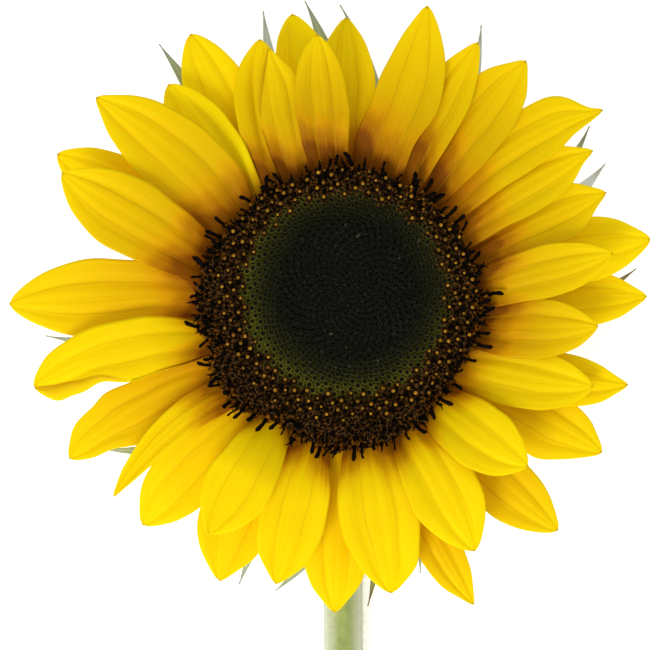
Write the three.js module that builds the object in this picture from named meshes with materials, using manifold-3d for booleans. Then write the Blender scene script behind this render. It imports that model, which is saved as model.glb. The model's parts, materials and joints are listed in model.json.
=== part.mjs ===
// Cut sunflower: one open bloom on a short cut stem, lying face up on the floor.
// Millimetres, +Z up. The head faces +Z, the stem lies along -Y and bends up into the head.
// Azimuths are in degrees, counter-clockwise from +X, seen from above.

import * as THREE from "three";
import Module from "manifold-3d";

// Stem
const STEM_RADIUS = 5.0;
const STEM_SIDES = 12;
const STEM_REACH = 200;
const STEM_OFFSET = 1.2;
const STEM_STRAIGHT_START = 60;
const STEM_BEND_RADIUS = 16;
const STEM_BEND_STEPS = 8;
const STEM_NECK_RADIUS = 5.9;

// Receptacle, the green cup that carries the whole head
const CUP_BACK_HEIGHT = 21.2;
const CUP_BACK_RADIUS = 6.2;
const CUP_RIM_RADIUS = 34.5;
const CUP_RIM_HEIGHT = 33.6;
const CUP_CURVE = 2.2;
const CUP_SHOULDER_HEIGHT = 35.95;
const CUP_BOSS_RADIUS = 27.8;
const CUP_BOSS_HEIGHT = 38.1;
const CUP_SIDES = 36;

// Disc of closed buds and the ring of open florets around it
const DISC_CENTRE_X = 1.5;
const DISC_CENTRE_Y = 3.0;
const DISC_RADIUS = 24.3;
const DISC_BOTTOM = 38.4;
const DISC_EDGE_HEIGHT = 42.0;
const DISC_DOME = 1.3;
const DISC_RIDGE = 0.45;
const DISC_SPIRALS = 13;
const RING_GAP = 0.35;
const RING_RADIUS = 34.6;
const RING_HEEL_RADIUS = 28.2;
const RING_OUTER_BOTTOM = 41.2;
const RING_TOP = 43.2;
const RING_STEPS = 48;
// Rows of florets: share of the ring's width, count, base radius, length, outward lean in degrees
const FLORET_ROWS = [
  [0.22, 34, 0.95, 1.9, 4],
  [0.58, 36, 1.15, 2.6, 16],
  [0.90, 38, 1.05, 3.6, 52],
];

// Petals
const CLAW_RADIUS = 28.6;
const CLAW_WIDTH = 2.8;
const CLAW_HEIGHT = 36.2;
const CLAW_STEP = 0.7;
const PETAL_THICKNESS = 0.55;
const PETAL_LEVEL_RISE = 3.0;
const PETAL_RISE_LENGTH = 17;
const PETAL_TIP_DROP = 3.0;
const PETAL_TIP_LIFT = 2.8;
const PETAL_CREASE = 0.25;
const PETAL_CUP = 0.3;
const PETAL_STATIONS = [0, 0.06, 0.16, 0.3, 0.46, 0.64, 0.8, 0.92, 1];
const PETAL_STRIPS = 4;
const PETAL_TIP_WIDTH = 0.7;
// Claw azimuth, tip azimuth, reach, width, level, roll in degrees, sideways bow, widest share
const PETALS = [
  [172.5, 178.8, 77.0, 18.0, 0.7, -4, -0.5, 0.56],
  [160.0, 154.2, 72.0, 18.0, 2.0, 0, 1.0, 0.58],
  [150.5, 150.2, 77.0, 15.0, 0.0, 0, 0.0, 0.66],
  [139.5, 138.8, 76.0, 18.5, 1.4, 0, -2.0, 0.50],
  [131.0, 126.7, 67.5, 14.5, 0.7, 0, 0.0, 0.60],
  [123.5, 117.7, 76.0, 15.5, 0.0, 0, 0.0, 0.66],
  [114.5, 106.1, 67.5, 14.5, 0.8, 0, 1.5, 0.60],
  [109.0, 105.1, 63.5, 10.5, 1.7, 0, 1.0, 0.60],
  [93.0, 94.6, 64.5, 12.5, 2.0, 0, 0.5, 0.60],
  [101.0, 98.8, 73.0, 12.5, 0.0, 0, 0.0, 0.68],
  [84.5, 88.6, 71.0, 13.5, 0.2, 0, -0.5, 0.62],
  [76.0, 73.8, 75.0, 15.5, 1.7, -7, -1.2, 0.50],
  [64.0, 62.5, 71.0, 12.0, 1.6, -7, 0.5, 0.56],
  [53.5, 53.1, 74.0, 15.5, 1.5, -7, 0.5, 0.60],
  [42.5, 37.2, 78.0, 14.0, 1.4, -7, 4.6, 0.58],
  [31.5, 32.0, 70.5, 13.0, 1.3, -7, 1.6, 0.60],
  [21.5, 23.6, 68.6, 13.5, 1.2, -7, 0.6, 0.65],
  [15.5, 13.2, 75.5, 15.0, 0.5, 0, 0.7, 0.65],
  [8.5, 10.8, 65.0, 12.0, 2.1, 0, -0.5, 0.58],
  [3.5, 3.2, 72.8, 13.0, 0.0, 0, 0.0, 0.62],
  [-6.0, -4.2, 60.5, 14.5, 1.6, 0, -1.0, 0.54],
  [-14.0, -14.2, 70.0, 12.5, 0.3, 0, -2.3, 0.60],
  [-24.0, -17.1, 62.0, 14.5, 1.1, 0, -1.2, 0.56],
  [-31.0, -28.1, 70.0, 14.5, 0.0, 0, 0.7, 0.62],
  [-42.0, -40.7, 57.5, 15.5, 2.0, 0, -1.5, 0.56],
  [-48.0, -45.0, 72.5, 14.5, 0.0, 0, -1.2, 0.62],
  [-59.5, -61.1, 65.0, 16.5, 1.5, 0, 0.2, 0.58],
  [-68.0, -65.0, 75.5, 13.0, 0.0, 0, -1.7, 0.62],
  [-78.0, -79.7, 67.5, 18.0, 1.0, 0, 0.0, 0.54],
  [-91.0, -90.8, 70.5, 14.5, 0.0, 0, 0.0, 0.62],
  [-101.5, -102.8, 66.0, 15.5, 1.1, 0, 0.0, 0.60],
  [-114.0, -113.8, 69.0, 16.0, 0.0, 0, -2.4, 0.62],
  [-118.5, -119.6, 61.0, 15.5, 2.0, 0, 0.5, 0.60],
  [-134.0, -132.5, 68.0, 15.0, 0.2, 0, -0.6, 0.64],
  [-142.5, -141.2, 68.0, 7.0, 1.2, 0, -1.8, 0.42],
  [-151.5, -151.3, 72.0, 15.0, 0.3, 0, -2.2, 0.58],
  [-167.0, -165.5, 73.5, 15.0, 1.3, 0, -2.5, 0.60],
];

// Bracts, in a lower tier that bends down to the floor and an upper tier under the petals
const BRACT_THICKNESS = 0.7;
const BRACT_TIP_WIDTH = 0.6;
const BRACT_TAPER = 1.6;
const BRACT_STATIONS = [0, 0.1, 0.24, 0.4, 0.56, 0.72, 0.87, 1];
const BRACT_STRIPS = 2;
const BRACT_KEEL = 0.5;
const LOWER_BRACT_START = 17.5;
const LOWER_BRACT_SHOULDER = 30;
const LOWER_BRACT_SHOULDER_HEIGHT = 26.4;
const UPPER_BRACT_START = 30.5;
const UPPER_BRACT_HEIGHT = 28.4;
const CUP_TO_BRACT = 0.35;
// Base azimuth, tip azimuth, reach, width, tip height, sideways bow; tip height 0 is the lower tier
const BRACTS = [
  [150, 150, 66.0, 12.0, 0, 0.0],
  [127, 123, 79.2, 12.0, 26, -0.5],
  [112, 103, 82.5, 11.0, 0, 1.3],
  [86, 96, 77.9, 10.0, 24, -2.6],
  [74, 89.7, 81.9, 10.0, 0, -5.0],
  [71, 78, 63.5, 9.0, 22, 0.0],
  [52, 65.3, 84.6, 10.5, 0, -5.0],
  [22, 38.2, 77.0, 9.0, 20, -4.0],
  [20, 32.6, 77.9, 12.0, 0, -5.0],
  [-4, 9.8, 72.1, 9.0, 23, -4.0],
  [-16, -20, 66.0, 11.5, 0, 0.0],
  [-40, -43, 63.0, 11.0, 21, 0.0],
  [-64, -71.4, 62.0, 11.0, 0, 3.0],
  [-80, -84.7, 68.0, 10.0, 15, 0.0],
  [-98, -103.7, 66.0, 9.0, 17, 3.5],
  [-118, -111.4, 66.0, 10.0, 0, -1.0],
  [-138, -151.4, 65.1, 10.5, 27, 5.0],
  [-172, -179.4, 71.5, 11.0, 0, 4.0],
];

const radians = (degrees) => (degrees * Math.PI) / 180;

function smoothstep(value) {
  const t = Math.min(1, Math.max(0, value));
  return t * t * (3 - 2 * t);
}

function geometryFrom(points, triangles) {
  const geometry = new THREE.BufferGeometry();
  geometry.setAttribute("position", new THREE.Float32BufferAttribute(points.flat(), 3));
  geometry.setIndex(triangles.flat());
  geometry.computeVertexNormals();
  return geometry;
}

function namedMesh(name, geometry, color, roughness) {
  const material = new THREE.MeshStandardMaterial({ color, roughness, metalness: 0 });
  const mesh = new THREE.Mesh(geometry, material);
  mesh.name = name;
  return mesh;
}

// Closes a stack of rings, all with the same number of points, with a fan at each end
function loft(rings) {
  const count = rings[0].length;
  const points = rings.flat();
  const triangles = [];
  for (let ring = 0; ring < rings.length - 1; ring += 1) {
    for (let i = 0; i < count; i += 1) {
      const next = (i + 1) % count;
      const a = ring * count + i;
      const b = ring * count + next;
      triangles.push([a, b, b + count], [a, b + count, a + count]);
    }
  }
  const last = (rings.length - 1) * count;
  for (let i = 1; i < count - 1; i += 1) {
    triangles.push([0, i + 1, i], [last, last + i, last + i + 1]);
  }
  return geometryFrom(points, triangles);
}

// A closed thin blade over a grid: surface(s, v) gives the underside, s along and v across from 1 to -1
function blade(surface, stations, strips, thickness) {
  const across = strips + 1;
  const layer = stations.length * across;
  const under = [];
  for (const s of stations) {
    for (let i = 0; i < across; i += 1) {
      under.push(surface(s, 1 - (2 * i) / strips));
    }
  }
  const points = [...under, ...under.map(([x, y, z]) => [x, y, z + thickness])];
  const triangles = [];
  for (let row = 0; row < stations.length - 1; row += 1) {
    for (let i = 0; i < strips; i += 1) {
      const a = row * across + i;
      const b = a + 1;
      const c = a + across;
      const d = c + 1;
      triangles.push([a, c, d], [a, d, b], [layer + a, layer + d, layer + c], [layer + a, layer + b, layer + d]);
    }
  }
  const wall = (a, b) => triangles.push([a, b, layer + b], [a, layer + b, layer + a]);
  const lastRow = (stations.length - 1) * across;
  for (let row = 0; row < stations.length - 1; row += 1) {
    wall((row + 1) * across, row * across);
    wall(row * across + strips, (row + 1) * across + strips);
  }
  for (let i = 0; i < strips; i += 1) {
    wall(i, i + 1);
    wall(lastRow + i + 1, lastRow + i);
  }
  return geometryFrom(points, triangles);
}

// The middle line of a petal or bract from its base to its tip, and the direction across it
function midline(baseRadius, baseAzimuth, reach, tipAzimuth, bow, s) {
  const startX = baseRadius * Math.cos(radians(baseAzimuth));
  const startY = baseRadius * Math.sin(radians(baseAzimuth));
  const runX = reach * Math.cos(radians(tipAzimuth)) - startX;
  const runY = reach * Math.sin(radians(tipAzimuth)) - startY;
  const length = Math.hypot(runX, runY);
  const side = bow * 4 * s * (1 - s);
  const slope = (bow * 4 * (1 - 2 * s)) / length;
  const acrossX = -runY / length - (slope * runX) / length;
  const acrossY = runX / length - (slope * runY) / length;
  const scale = Math.hypot(acrossX, acrossY);
  return {
    x: startX + runX * s - (runY / length) * side,
    y: startY + runY * s + (runX / length) * side,
    acrossX: acrossX / scale,
    acrossY: acrossY / scale,
  };
}

function petalHalfWidth(width, widest, s) {
  const power = Math.log(0.5) / Math.log(widest);
  const bulge = Math.sin(Math.PI * s ** power) ** 0.66 || 0;
  const half = (CLAW_WIDTH / 2) * (1 - s) + ((width - CLAW_WIDTH * (1 - widest)) / 2) * bulge;
  return Math.max(half, PETAL_TIP_WIDTH / 2);
}

function petalSurface([clawAzimuth, tipAzimuth, reach, width, level, roll, bow, widest]) {
  return (s, v) => {
    const line = midline(CLAW_RADIUS, clawAzimuth, reach, tipAzimuth, bow, s);
    const half = s < 1 ? petalHalfWidth(width, widest, s) : PETAL_TIP_WIDTH / 2;
    const opening = smoothstep(s / 0.12) * Math.sin(Math.PI * Math.min(s, 0.96));
    const climb = smoothstep((s * (reach - CLAW_RADIUS)) / PETAL_RISE_LENGTH);
    const rise = level * (CLAW_STEP + PETAL_LEVEL_RISE * climb);
    const tip = (PETAL_TIP_LIFT * level - PETAL_TIP_DROP) * s * s;
    const steeper = 2 - smoothstep((s - 0.1) / 0.35);
    const rolled = half * v * Math.tan(radians(roll * steeper)) * smoothstep(s / 0.08);
    const crease = -PETAL_CREASE * Math.sin(Math.PI * Math.abs(v)) ** 2;
    const folds = (crease + PETAL_CUP * v * v) * opening;
    return [
      line.x + line.acrossX * half * v,
      line.y + line.acrossY * half * v,
      CLAW_HEIGHT + rise + tip + rolled + folds,
    ];
  };
}

// Height of the cup's back at a radius
function cupBack(radius) {
  const share = (radius - CUP_BACK_RADIUS) / (CUP_RIM_RADIUS - CUP_BACK_RADIUS);
  return CUP_BACK_HEIGHT + (CUP_RIM_HEIGHT - CUP_BACK_HEIGHT) * Math.max(0, share) ** CUP_CURVE;
}

// A smooth height between two points with given slopes
function hermite(from, to, x) {
  const span = to.x - from.x;
  const t = (x - from.x) / span;
  const a = 2 * t ** 3 - 3 * t ** 2 + 1;
  const b = t ** 3 - 2 * t ** 2 + t;
  const c = -2 * t ** 3 + 3 * t ** 2;
  const d = t ** 3 - t ** 2;
  return a * from.z + b * span * from.slope + c * to.z + d * span * to.slope;
}

function lowerBractHeight(radius, reach) {
  const startHeight = cupBack(LOWER_BRACT_START) - CUP_TO_BRACT - BRACT_THICKNESS - BRACT_KEEL;
  const start = { x: LOWER_BRACT_START, z: startHeight, slope: 0.2 };
  const shoulder = { x: LOWER_BRACT_SHOULDER, z: LOWER_BRACT_SHOULDER_HEIGHT, slope: 0.25 };
  const tip = { x: reach, z: 0, slope: -1.0 };
  return radius < shoulder.x ? hermite(start, shoulder, radius) : hermite(shoulder, tip, radius);
}

function upperBractHeight(radius, reach, tipHeight) {
  const start = { x: UPPER_BRACT_START, z: UPPER_BRACT_HEIGHT, slope: 0.15 };
  const tip = { x: reach, z: tipHeight, slope: -0.4 };
  return hermite(start, tip, radius);
}

function bractHalfWidth(width, s) {
  const blunt = 0.62 + 0.38 * smoothstep(s / 0.25);
  const taper = (1 - s) ** BRACT_TAPER * (1 + 0.83 * s);
  return Math.max((width / 2) * blunt * taper, BRACT_TIP_WIDTH / 2);
}

function bractSurface([baseAzimuth, tipAzimuth, reach, width, tipHeight, bow]) {
  const lower = tipHeight === 0;
  const start = lower ? LOWER_BRACT_START : UPPER_BRACT_START;
  return (s, v) => {
    const line = midline(start, baseAzimuth, reach, tipAzimuth, bow, s);
    const radius = Math.min(reach, Math.hypot(line.x, line.y));
    const height = lower ? lowerBractHeight(radius, reach) : upperBractHeight(radius, reach, tipHeight);
    const half = bractHalfWidth(width, s);
    const keel = BRACT_KEEL * v * v * (1 - s);
    return [line.x + line.acrossX * half * v, line.y + line.acrossY * half * v, height + keel];
  };
}

// The stem: a straight run on the floor, then a bend up into the neck
function buildStem() {
  const axisHeight = STEM_RADIUS * Math.cos(Math.PI / STEM_SIDES);
  const ring = (centreY, centreZ, tilt, radius) => {
    const centreX = STEM_OFFSET * smoothstep(-centreY / STEM_STRAIGHT_START);
    const points = [];
    for (let i = 0; i < STEM_SIDES; i += 1) {
      const angle = ((i + 0.5) * 2 * Math.PI) / STEM_SIDES;
      const x = centreX - radius * Math.sin(angle);
      const out = -radius * Math.cos(angle);
      points.push([x, centreY - out * Math.sin(tilt), centreZ + out * Math.cos(tilt)]);
    }
    return points;
  };
  const rings = [ring(-STEM_REACH, axisHeight, 0, STEM_RADIUS)];
  for (const y of [STEM_REACH / 2, STEM_STRAIGHT_START, 0.75 * STEM_STRAIGHT_START, STEM_STRAIGHT_START / 2]) {
    rings.push(ring(-y, axisHeight, 0, STEM_RADIUS));
  }
  for (let step = 0; step <= STEM_BEND_STEPS; step += 1) {
    const share = step / STEM_BEND_STEPS;
    const tilt = (share * Math.PI) / 2;
    const y = STEM_BEND_RADIUS * (Math.sin(tilt) - 1);
    const z = axisHeight + (CUP_BACK_HEIGHT - 0.3 - axisHeight) * (1 - Math.cos(tilt));
    rings.push(ring(y, z, tilt, STEM_RADIUS + (STEM_NECK_RADIUS - STEM_RADIUS) * share));
  }
  return loft(rings);
}

function buildCup() {
  const profile = [[CUP_BACK_RADIUS, CUP_BACK_HEIGHT]];
  for (const radius of [13, 19, 25, 30]) {
    profile.push([radius, cupBack(radius)]);
  }
  profile.push([CUP_RIM_RADIUS, CUP_RIM_HEIGHT]);
  profile.push([CUP_RIM_RADIUS - 0.3, CUP_SHOULDER_HEIGHT]);
  profile.push([CUP_BOSS_RADIUS, CUP_SHOULDER_HEIGHT]);
  profile.push([CUP_BOSS_RADIUS, CUP_BOSS_HEIGHT]);
  const rings = profile.map(([radius, z]) => {
    const points = [];
    for (let i = 0; i < CUP_SIDES; i += 1) {
      const angle = (i * 2 * Math.PI) / CUP_SIDES;
      points.push([radius * Math.cos(angle), radius * Math.sin(angle), z]);
    }
    return points;
  });
  return loft(rings);
}

// The disc: a low dome whose surface runs in spiral ridges of buds
function buildDisc() {
  const steps = 48;
  const shares = [1, 0.9, 0.78, 0.64, 0.48, 0.32, 0.16, 0.05];
  const ringAt = (share, top) => {
    const points = [];
    for (let i = 0; i < steps; i += 1) {
      const angle = (i * 2 * Math.PI) / steps;
      const ridge = DISC_RIDGE * Math.cos(DISC_SPIRALS * angle + 14 * share) * Math.min(1, share * 1.6);
      const z = DISC_EDGE_HEIGHT + DISC_DOME * (1 - share * share) + ridge;
      const reach = DISC_RADIUS * share;
      points.push([
        DISC_CENTRE_X + reach * Math.cos(angle),
        DISC_CENTRE_Y + reach * Math.sin(angle),
        top ? z : DISC_BOTTOM,
      ]);
    }
    return points;
  };
  return loft([ringAt(1, false), ...shares.map((share) => ringAt(share, true))]);
}

// The body of the floret ring, wider on the lower left than on the upper right
function buildRingBody() {
  const innerRadius = DISC_RADIUS + RING_GAP;
  const points = [];
  const triangles = [];
  const count = 6;
  for (let i = 0; i < RING_STEPS; i += 1) {
    const angle = (i * 2 * Math.PI) / RING_STEPS;
    const innerX = DISC_CENTRE_X + innerRadius * Math.cos(angle);
    const innerY = DISC_CENTRE_Y + innerRadius * Math.sin(angle);
    const outerX = RING_RADIUS * Math.cos(angle);
    const outerY = RING_RADIUS * Math.sin(angle);
    points.push([innerX, innerY, DISC_BOTTOM]);
    points.push([RING_HEEL_RADIUS * Math.cos(angle), RING_HEEL_RADIUS * Math.sin(angle), DISC_BOTTOM]);
    points.push([outerX, outerY, RING_OUTER_BOTTOM]);
    points.push([outerX, outerY, RING_TOP - 0.4]);
    points.push([(innerX + outerX) / 2, (innerY + outerY) / 2, RING_TOP]);
    points.push([innerX, innerY, RING_TOP - 1]);
  }
  for (let i = 0; i < RING_STEPS; i += 1) {
    for (let j = 0; j < count; j += 1) {
      const a = i * count + j;
      const b = i * count + ((j + 1) % count);
      const c = ((i + 1) % RING_STEPS) * count + j;
      const d = ((i + 1) % RING_STEPS) * count + ((j + 1) % count);
      triangles.push([a, c, d], [a, d, b]);
    }
  }
  return geometryFrom(points, triangles);
}

// One open floret: a five-sided column that narrows to a point and leans outward
function buildFloret(x, y, z, radius, length, azimuth, lean) {
  const outX = Math.cos(azimuth);
  const outY = Math.sin(azimuth);
  const levels = [[-0.9, 1], [length, 0.45]];
  const rings = levels.map(([height, swell]) => {
    const points = [];
    for (let i = 0; i < 5; i += 1) {
      const angle = (i * 2 * Math.PI) / 5;
      const out = radius * swell * Math.cos(angle);
      const side = radius * swell * Math.sin(angle);
      const shift = out * Math.cos(lean) + height * Math.sin(lean);
      const rise = height * Math.cos(lean) - out * Math.sin(lean);
      points.push([x + outX * shift - outY * side, y + outY * shift + outX * side, z + rise]);
    }
    return points;
  });
  return loft(rings);
}

function toManifold(wasm, geometry) {
  return new wasm.Manifold(new wasm.Mesh({
    numProp: 3,
    vertProperties: new Float32Array(geometry.getAttribute("position").array),
    triVerts: new Uint32Array(geometry.getIndex().array),
  }));
}

function fromManifold(solid) {
  const mesh = solid.getMesh();
  const points = [];
  for (let i = 0; i < mesh.numVert; i += 1) {
    const at = i * mesh.numProp;
    points.push([mesh.vertProperties[at], mesh.vertProperties[at + 1], mesh.vertProperties[at + 2]]);
  }
  return geometryFrom(points, [Array.from(mesh.triVerts)]);
}

function buildFloretRing(wasm) {
  const innerRadius = DISC_RADIUS + RING_GAP;
  const pieces = [toManifold(wasm, buildRingBody())];
  FLORET_ROWS.forEach(([share, count, radius, length, lean], row) => {
    for (let i = 0; i < count; i += 1) {
      const angle = ((i + row / 3) * 2 * Math.PI) / count;
      const innerX = DISC_CENTRE_X + innerRadius * Math.cos(angle);
      const innerY = DISC_CENTRE_Y + innerRadius * Math.sin(angle);
      const x = innerX + (RING_RADIUS * Math.cos(angle) - innerX) * share;
      const y = innerY + (RING_RADIUS * Math.sin(angle) - innerY) * share;
      const uneven = 1 + 0.16 * Math.sin(i * 2.4 + row);
      const floret = buildFloret(x, y, RING_TOP - 0.4, radius, length * uneven, angle, radians(lean));
      pieces.push(toManifold(wasm, floret));
    }
  });
  return fromManifold(wasm.Manifold.union(pieces));
}

const twoDigits = (number) => String(number).padStart(2, "0");

const wasm = await Module();
wasm.setup();

const group = new THREE.Group();
group.name = "cut_sunflower";
group.add(namedMesh("stem", buildStem(), 0xa4b46c, 0.75));
group.add(namedMesh("receptacle", buildCup(), 0x7f9158, 0.8));
group.add(namedMesh("disc", buildDisc(), 0x1d1f12, 0.85));
group.add(namedMesh("floret_ring", buildFloretRing(wasm), 0x3b1d0c, 0.85));

PETALS.forEach((petal, index) => {
  const level = petal[4];
  const color = level < 1 ? 0xe8bd08 : 0xf8cf0a;
  const geometry = blade(petalSurface(petal), PETAL_STATIONS, PETAL_STRIPS, PETAL_THICKNESS);
  group.add(namedMesh(`petal_${twoDigits(index + 1)}`, geometry, color, 0.6));
});

BRACTS.forEach((bract, index) => {
  const geometry = blade(bractSurface(bract), BRACT_STATIONS, BRACT_STRIPS, BRACT_THICKNESS);
  group.add(namedMesh(`bract_${twoDigits(index + 1)}`, geometry, 0x8b9a78, 0.8));
});

// The middle of the plant's box goes over the origin, with its lowest point on the floor
const box = new THREE.Box3().setFromObject(group);
const middle = box.getCenter(new THREE.Vector3());
for (const mesh of group.children) {
  mesh.geometry.translate(-middle.x, -middle.y, -box.min.z);
}

export default group;
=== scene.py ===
"""Cut sunflower: a dressed bloom on its short stem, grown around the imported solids."""

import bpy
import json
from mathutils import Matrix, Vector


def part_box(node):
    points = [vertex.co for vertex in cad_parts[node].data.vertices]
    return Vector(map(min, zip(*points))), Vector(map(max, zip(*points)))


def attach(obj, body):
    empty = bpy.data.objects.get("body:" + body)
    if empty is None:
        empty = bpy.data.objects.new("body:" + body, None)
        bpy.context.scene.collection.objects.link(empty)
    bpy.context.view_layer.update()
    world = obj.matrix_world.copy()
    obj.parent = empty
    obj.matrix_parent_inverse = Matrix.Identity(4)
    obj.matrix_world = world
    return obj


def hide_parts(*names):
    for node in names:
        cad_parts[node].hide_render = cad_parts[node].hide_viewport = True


bl_info = {
    "name": "Cut Sunflower",
    "version": (1, 0, 0),
    "blender": (4, 5, 0),
    "location": "View3D > Sidebar > Sunflower",
    "description": "Grows petals, bracts, disc florets, stem and fine hairs around the sunflower's solids",
    "category": "Object",
}

import json
import math

import bpy
import numpy as np
from bpy.props import FloatProperty, FloatVectorProperty, IntProperty, PointerProperty
from mathutils import Vector

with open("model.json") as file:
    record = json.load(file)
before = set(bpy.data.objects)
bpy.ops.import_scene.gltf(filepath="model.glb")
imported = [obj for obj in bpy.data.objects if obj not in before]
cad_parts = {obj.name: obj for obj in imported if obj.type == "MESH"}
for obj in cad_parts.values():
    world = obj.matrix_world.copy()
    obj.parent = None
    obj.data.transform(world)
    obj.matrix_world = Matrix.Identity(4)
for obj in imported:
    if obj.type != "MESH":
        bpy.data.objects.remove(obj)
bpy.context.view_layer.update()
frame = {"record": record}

MM = 0.001
TURN = 2 * math.pi
GOLDEN_ANGLE = math.pi * (3 - math.sqrt(5))
# Each uneven wave starts at its own place in a turn of this size
WAVE_TURN = 6.28

# The head's axis, from the cup that carries it
CUP_LOW, CUP_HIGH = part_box("receptacle")
HEAD_X = (CUP_LOW.x + CUP_HIGH.x) / 2
HEAD_Y = (CUP_LOW.y + CUP_HIGH.y) / 2
STEM_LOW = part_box("stem")[0]

# Sizes are those of the solids, in millimetres from the head's axis and the floor

# A petal: its narrow claw under the florets, its rise and fall, and its outline
CLAW_RADIUS = 28.6
CLAW_WIDTH = 2.8
CLAW_HEIGHT = 36.2
CLAW_STEP = 0.7
PETAL_LEVEL_RISE = 3.0
PETAL_RISE_LENGTH = 17
PETAL_TIP_DROP = 3.0
PETAL_TIP_LIFT = 2.8
PETAL_SHOULDER = 1.3
PETAL_ROUNDNESS = 0.66
PETAL_POINTING = 0.30
PETAL_LEAST_HALF = 0.12
PETAL_SEED = 100
# Azimuth of the side of the bloom away from the key light, where the petals get a deeper yellow as painted
# shade
SHADED_SIDE = 45
# Claw azimuth, tip azimuth, reach, width, level, roll in degrees, sideways bow, widest share, tip point
PETALS = [
    (172.5, 178.8, 77.4, 18.0, 0.7, -4, -0.5, 0.58, 0.0),
    (160.0, 154.2, 72.0, 18.0, 2.0, 0, 1.0, 0.58, 0.4),
    (150.5, 150.2, 77.0, 15.0, 0.0, 0, 0.0, 0.66, 0.4),
    (139.5, 138.8, 76.0, 18.5, 1.4, 0, -2.0, 0.50, 0.6),
    (131.0, 126.7, 67.5, 14.5, 0.7, 0, 0.0, 0.60, 0.1),
    (123.5, 117.7, 76.0, 14.4, 0.0, 0, 0.0, 0.66, 0.1),
    (114.5, 106.1, 67.5, 14.5, 0.8, 0, 1.5, 0.60, 0.6),
    (106.2, 105.1, 63.5, 10.5, 1.7, 0, 1.0, 0.60, 0.7),
    (93.0, 94.6, 64.5, 12.5, 2.0, 0, 0.5, 0.60, 0.3),
    (101.0, 98.8, 73.0, 13.6, 0.0, 0, -0.5, 0.68, 0.3),
    (84.5, 88.6, 71.0, 13.5, 0.2, 0, 0.5, 0.62, 0.5),
    (76.0, 73.8, 74.6, 15.5, 1.7, -7, -2.2, 0.50, 0.3),
    (64.0, 62.5, 71.0, 12.0, 1.6, -7, 0.5, 0.56, 0.5),
    (53.5, 53.1, 73.4, 16.0, 1.5, -7, 0.7, 0.60, 0.8),
    (42.5, 37.2, 78.0, 14.0, 1.4, -7, 4.6, 0.58, 1.0),
    (31.5, 32.0, 70.5, 13.0, 1.3, -7, 1.6, 0.60, 0.7),
    (21.5, 23.6, 68.6, 13.5, 1.2, -7, 0.6, 0.65, 0.8),
    (15.5, 13.2, 75.5, 15.0, 0.5, 0, 0.7, 0.65, 0.5),
    (8.5, 10.8, 65.0, 12.0, 2.1, 0, -0.5, 0.58, 0.5),
    (3.5, 3.2, 72.8, 13.0, 0.0, 0, 0.0, 0.62, 0.8),
    (-6.0, -4.2, 60.5, 14.5, 1.6, 0, -1.0, 0.54, 0.4),
    (-14.0, -14.2, 70.0, 12.5, 0.3, 0, -3.0, 0.60, 1.0),
    (-24.0, -17.1, 62.0, 14.5, 1.1, 0, -1.2, 0.56, 0.0),
    (-31.0, -28.1, 70.0, 14.5, 0.0, 0, 0.7, 0.62, 0.5),
    (-42.0, -40.7, 57.5, 15.5, 2.0, 0, -1.5, 0.56, 0.2),
    (-48.0, -45.0, 72.5, 14.5, 0.0, 0, -1.2, 0.62, 0.3),
    (-59.5, -61.1, 65.0, 16.5, 1.5, 0, 0.2, 0.58, 0.3),
    (-68.0, -65.4, 75.5, 10.8, 0.0, 0, -1.7, 0.62, 1.0),
    (-78.0, -79.7, 67.5, 18.4, 1.0, 0, 0.2, 0.55, 0.4),
    (-91.0, -90.8, 70.5, 16.0, 0.0, 0, 0.0, 0.62, 0.9),
    (-101.5, -102.8, 66.0, 15.5, 1.1, 0, 0.0, 0.60, 0.8),
    (-114.0, -113.8, 69.0, 17.4, 0.0, 0, -2.4, 0.62, 0.8),
    (-120.0, -119.6, 61.0, 15.5, 2.0, 0, 0.5, 0.60, 0.0),
    (-131.5, -132.5, 68.0, 15.0, 0.2, 0, -0.6, 0.64, 0.3),
    (-142.5, -139.9, 68.5, 7.3, 1.2, 0, -2.9, 0.46, 0.7),
    (-151.5, -151.3, 72.0, 15.0, 0.3, 0, -2.2, 0.58, 0.2),
    (-167.0, -165.5, 73.5, 15.0, 1.3, 0, -2.5, 0.60, 0.0),
]

PETAL_ROWS = 61
PETAL_COLUMNS = 25
TURNED_COLUMNS = 8
TURNED_FADE_ROWS = 6
# Petals with a margin turned over: side, share it starts at, part of the width it keeps at the tip
TURNED_MARGINS = {8: (1, 0.50, 0.30), 37: (1, 0.52, 0.22)}
# Uneven margins: side, share along the petal, spread and swelling in mm
SWELLINGS = {
    2: [(1, 0.55, 0.20, -0.4)],
    8: [(-1, 0.72, 0.16, 1.5)],
    10: [(1, 0.80, 0.12, -0.8)],
    12: [(-1, 0.28, 0.16, -2.2), (1, 0.24, 0.16, 1.2)],
    15: [(1, 0.80, 0.10, 1.5), (1, 0.94, 0.05, -0.9), (-1, 0.84, 0.08, -1.2)],
    16: [(-1, 0.92, 0.08, -0.9)],
    17: [(-1, 0.90, 0.10, -1.0)],
    24: [(-1, 0.66, 0.12, 1.7)],
    29: [(1, 0.86, 0.10, 1.3)],
    36: [(1, 0.78, 0.10, -1.5), (-1, 0.88, 0.07, 0.8), (-1, 0.73, 0.05, -0.4), (-1, 0.50, 0.12, -1.0)],
    37: [(1, 0.67, 0.10, -2.2), (1, 0.93, 0.07, 1.8), (-1, 0.88, 0.08, 0.4)],
}
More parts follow.
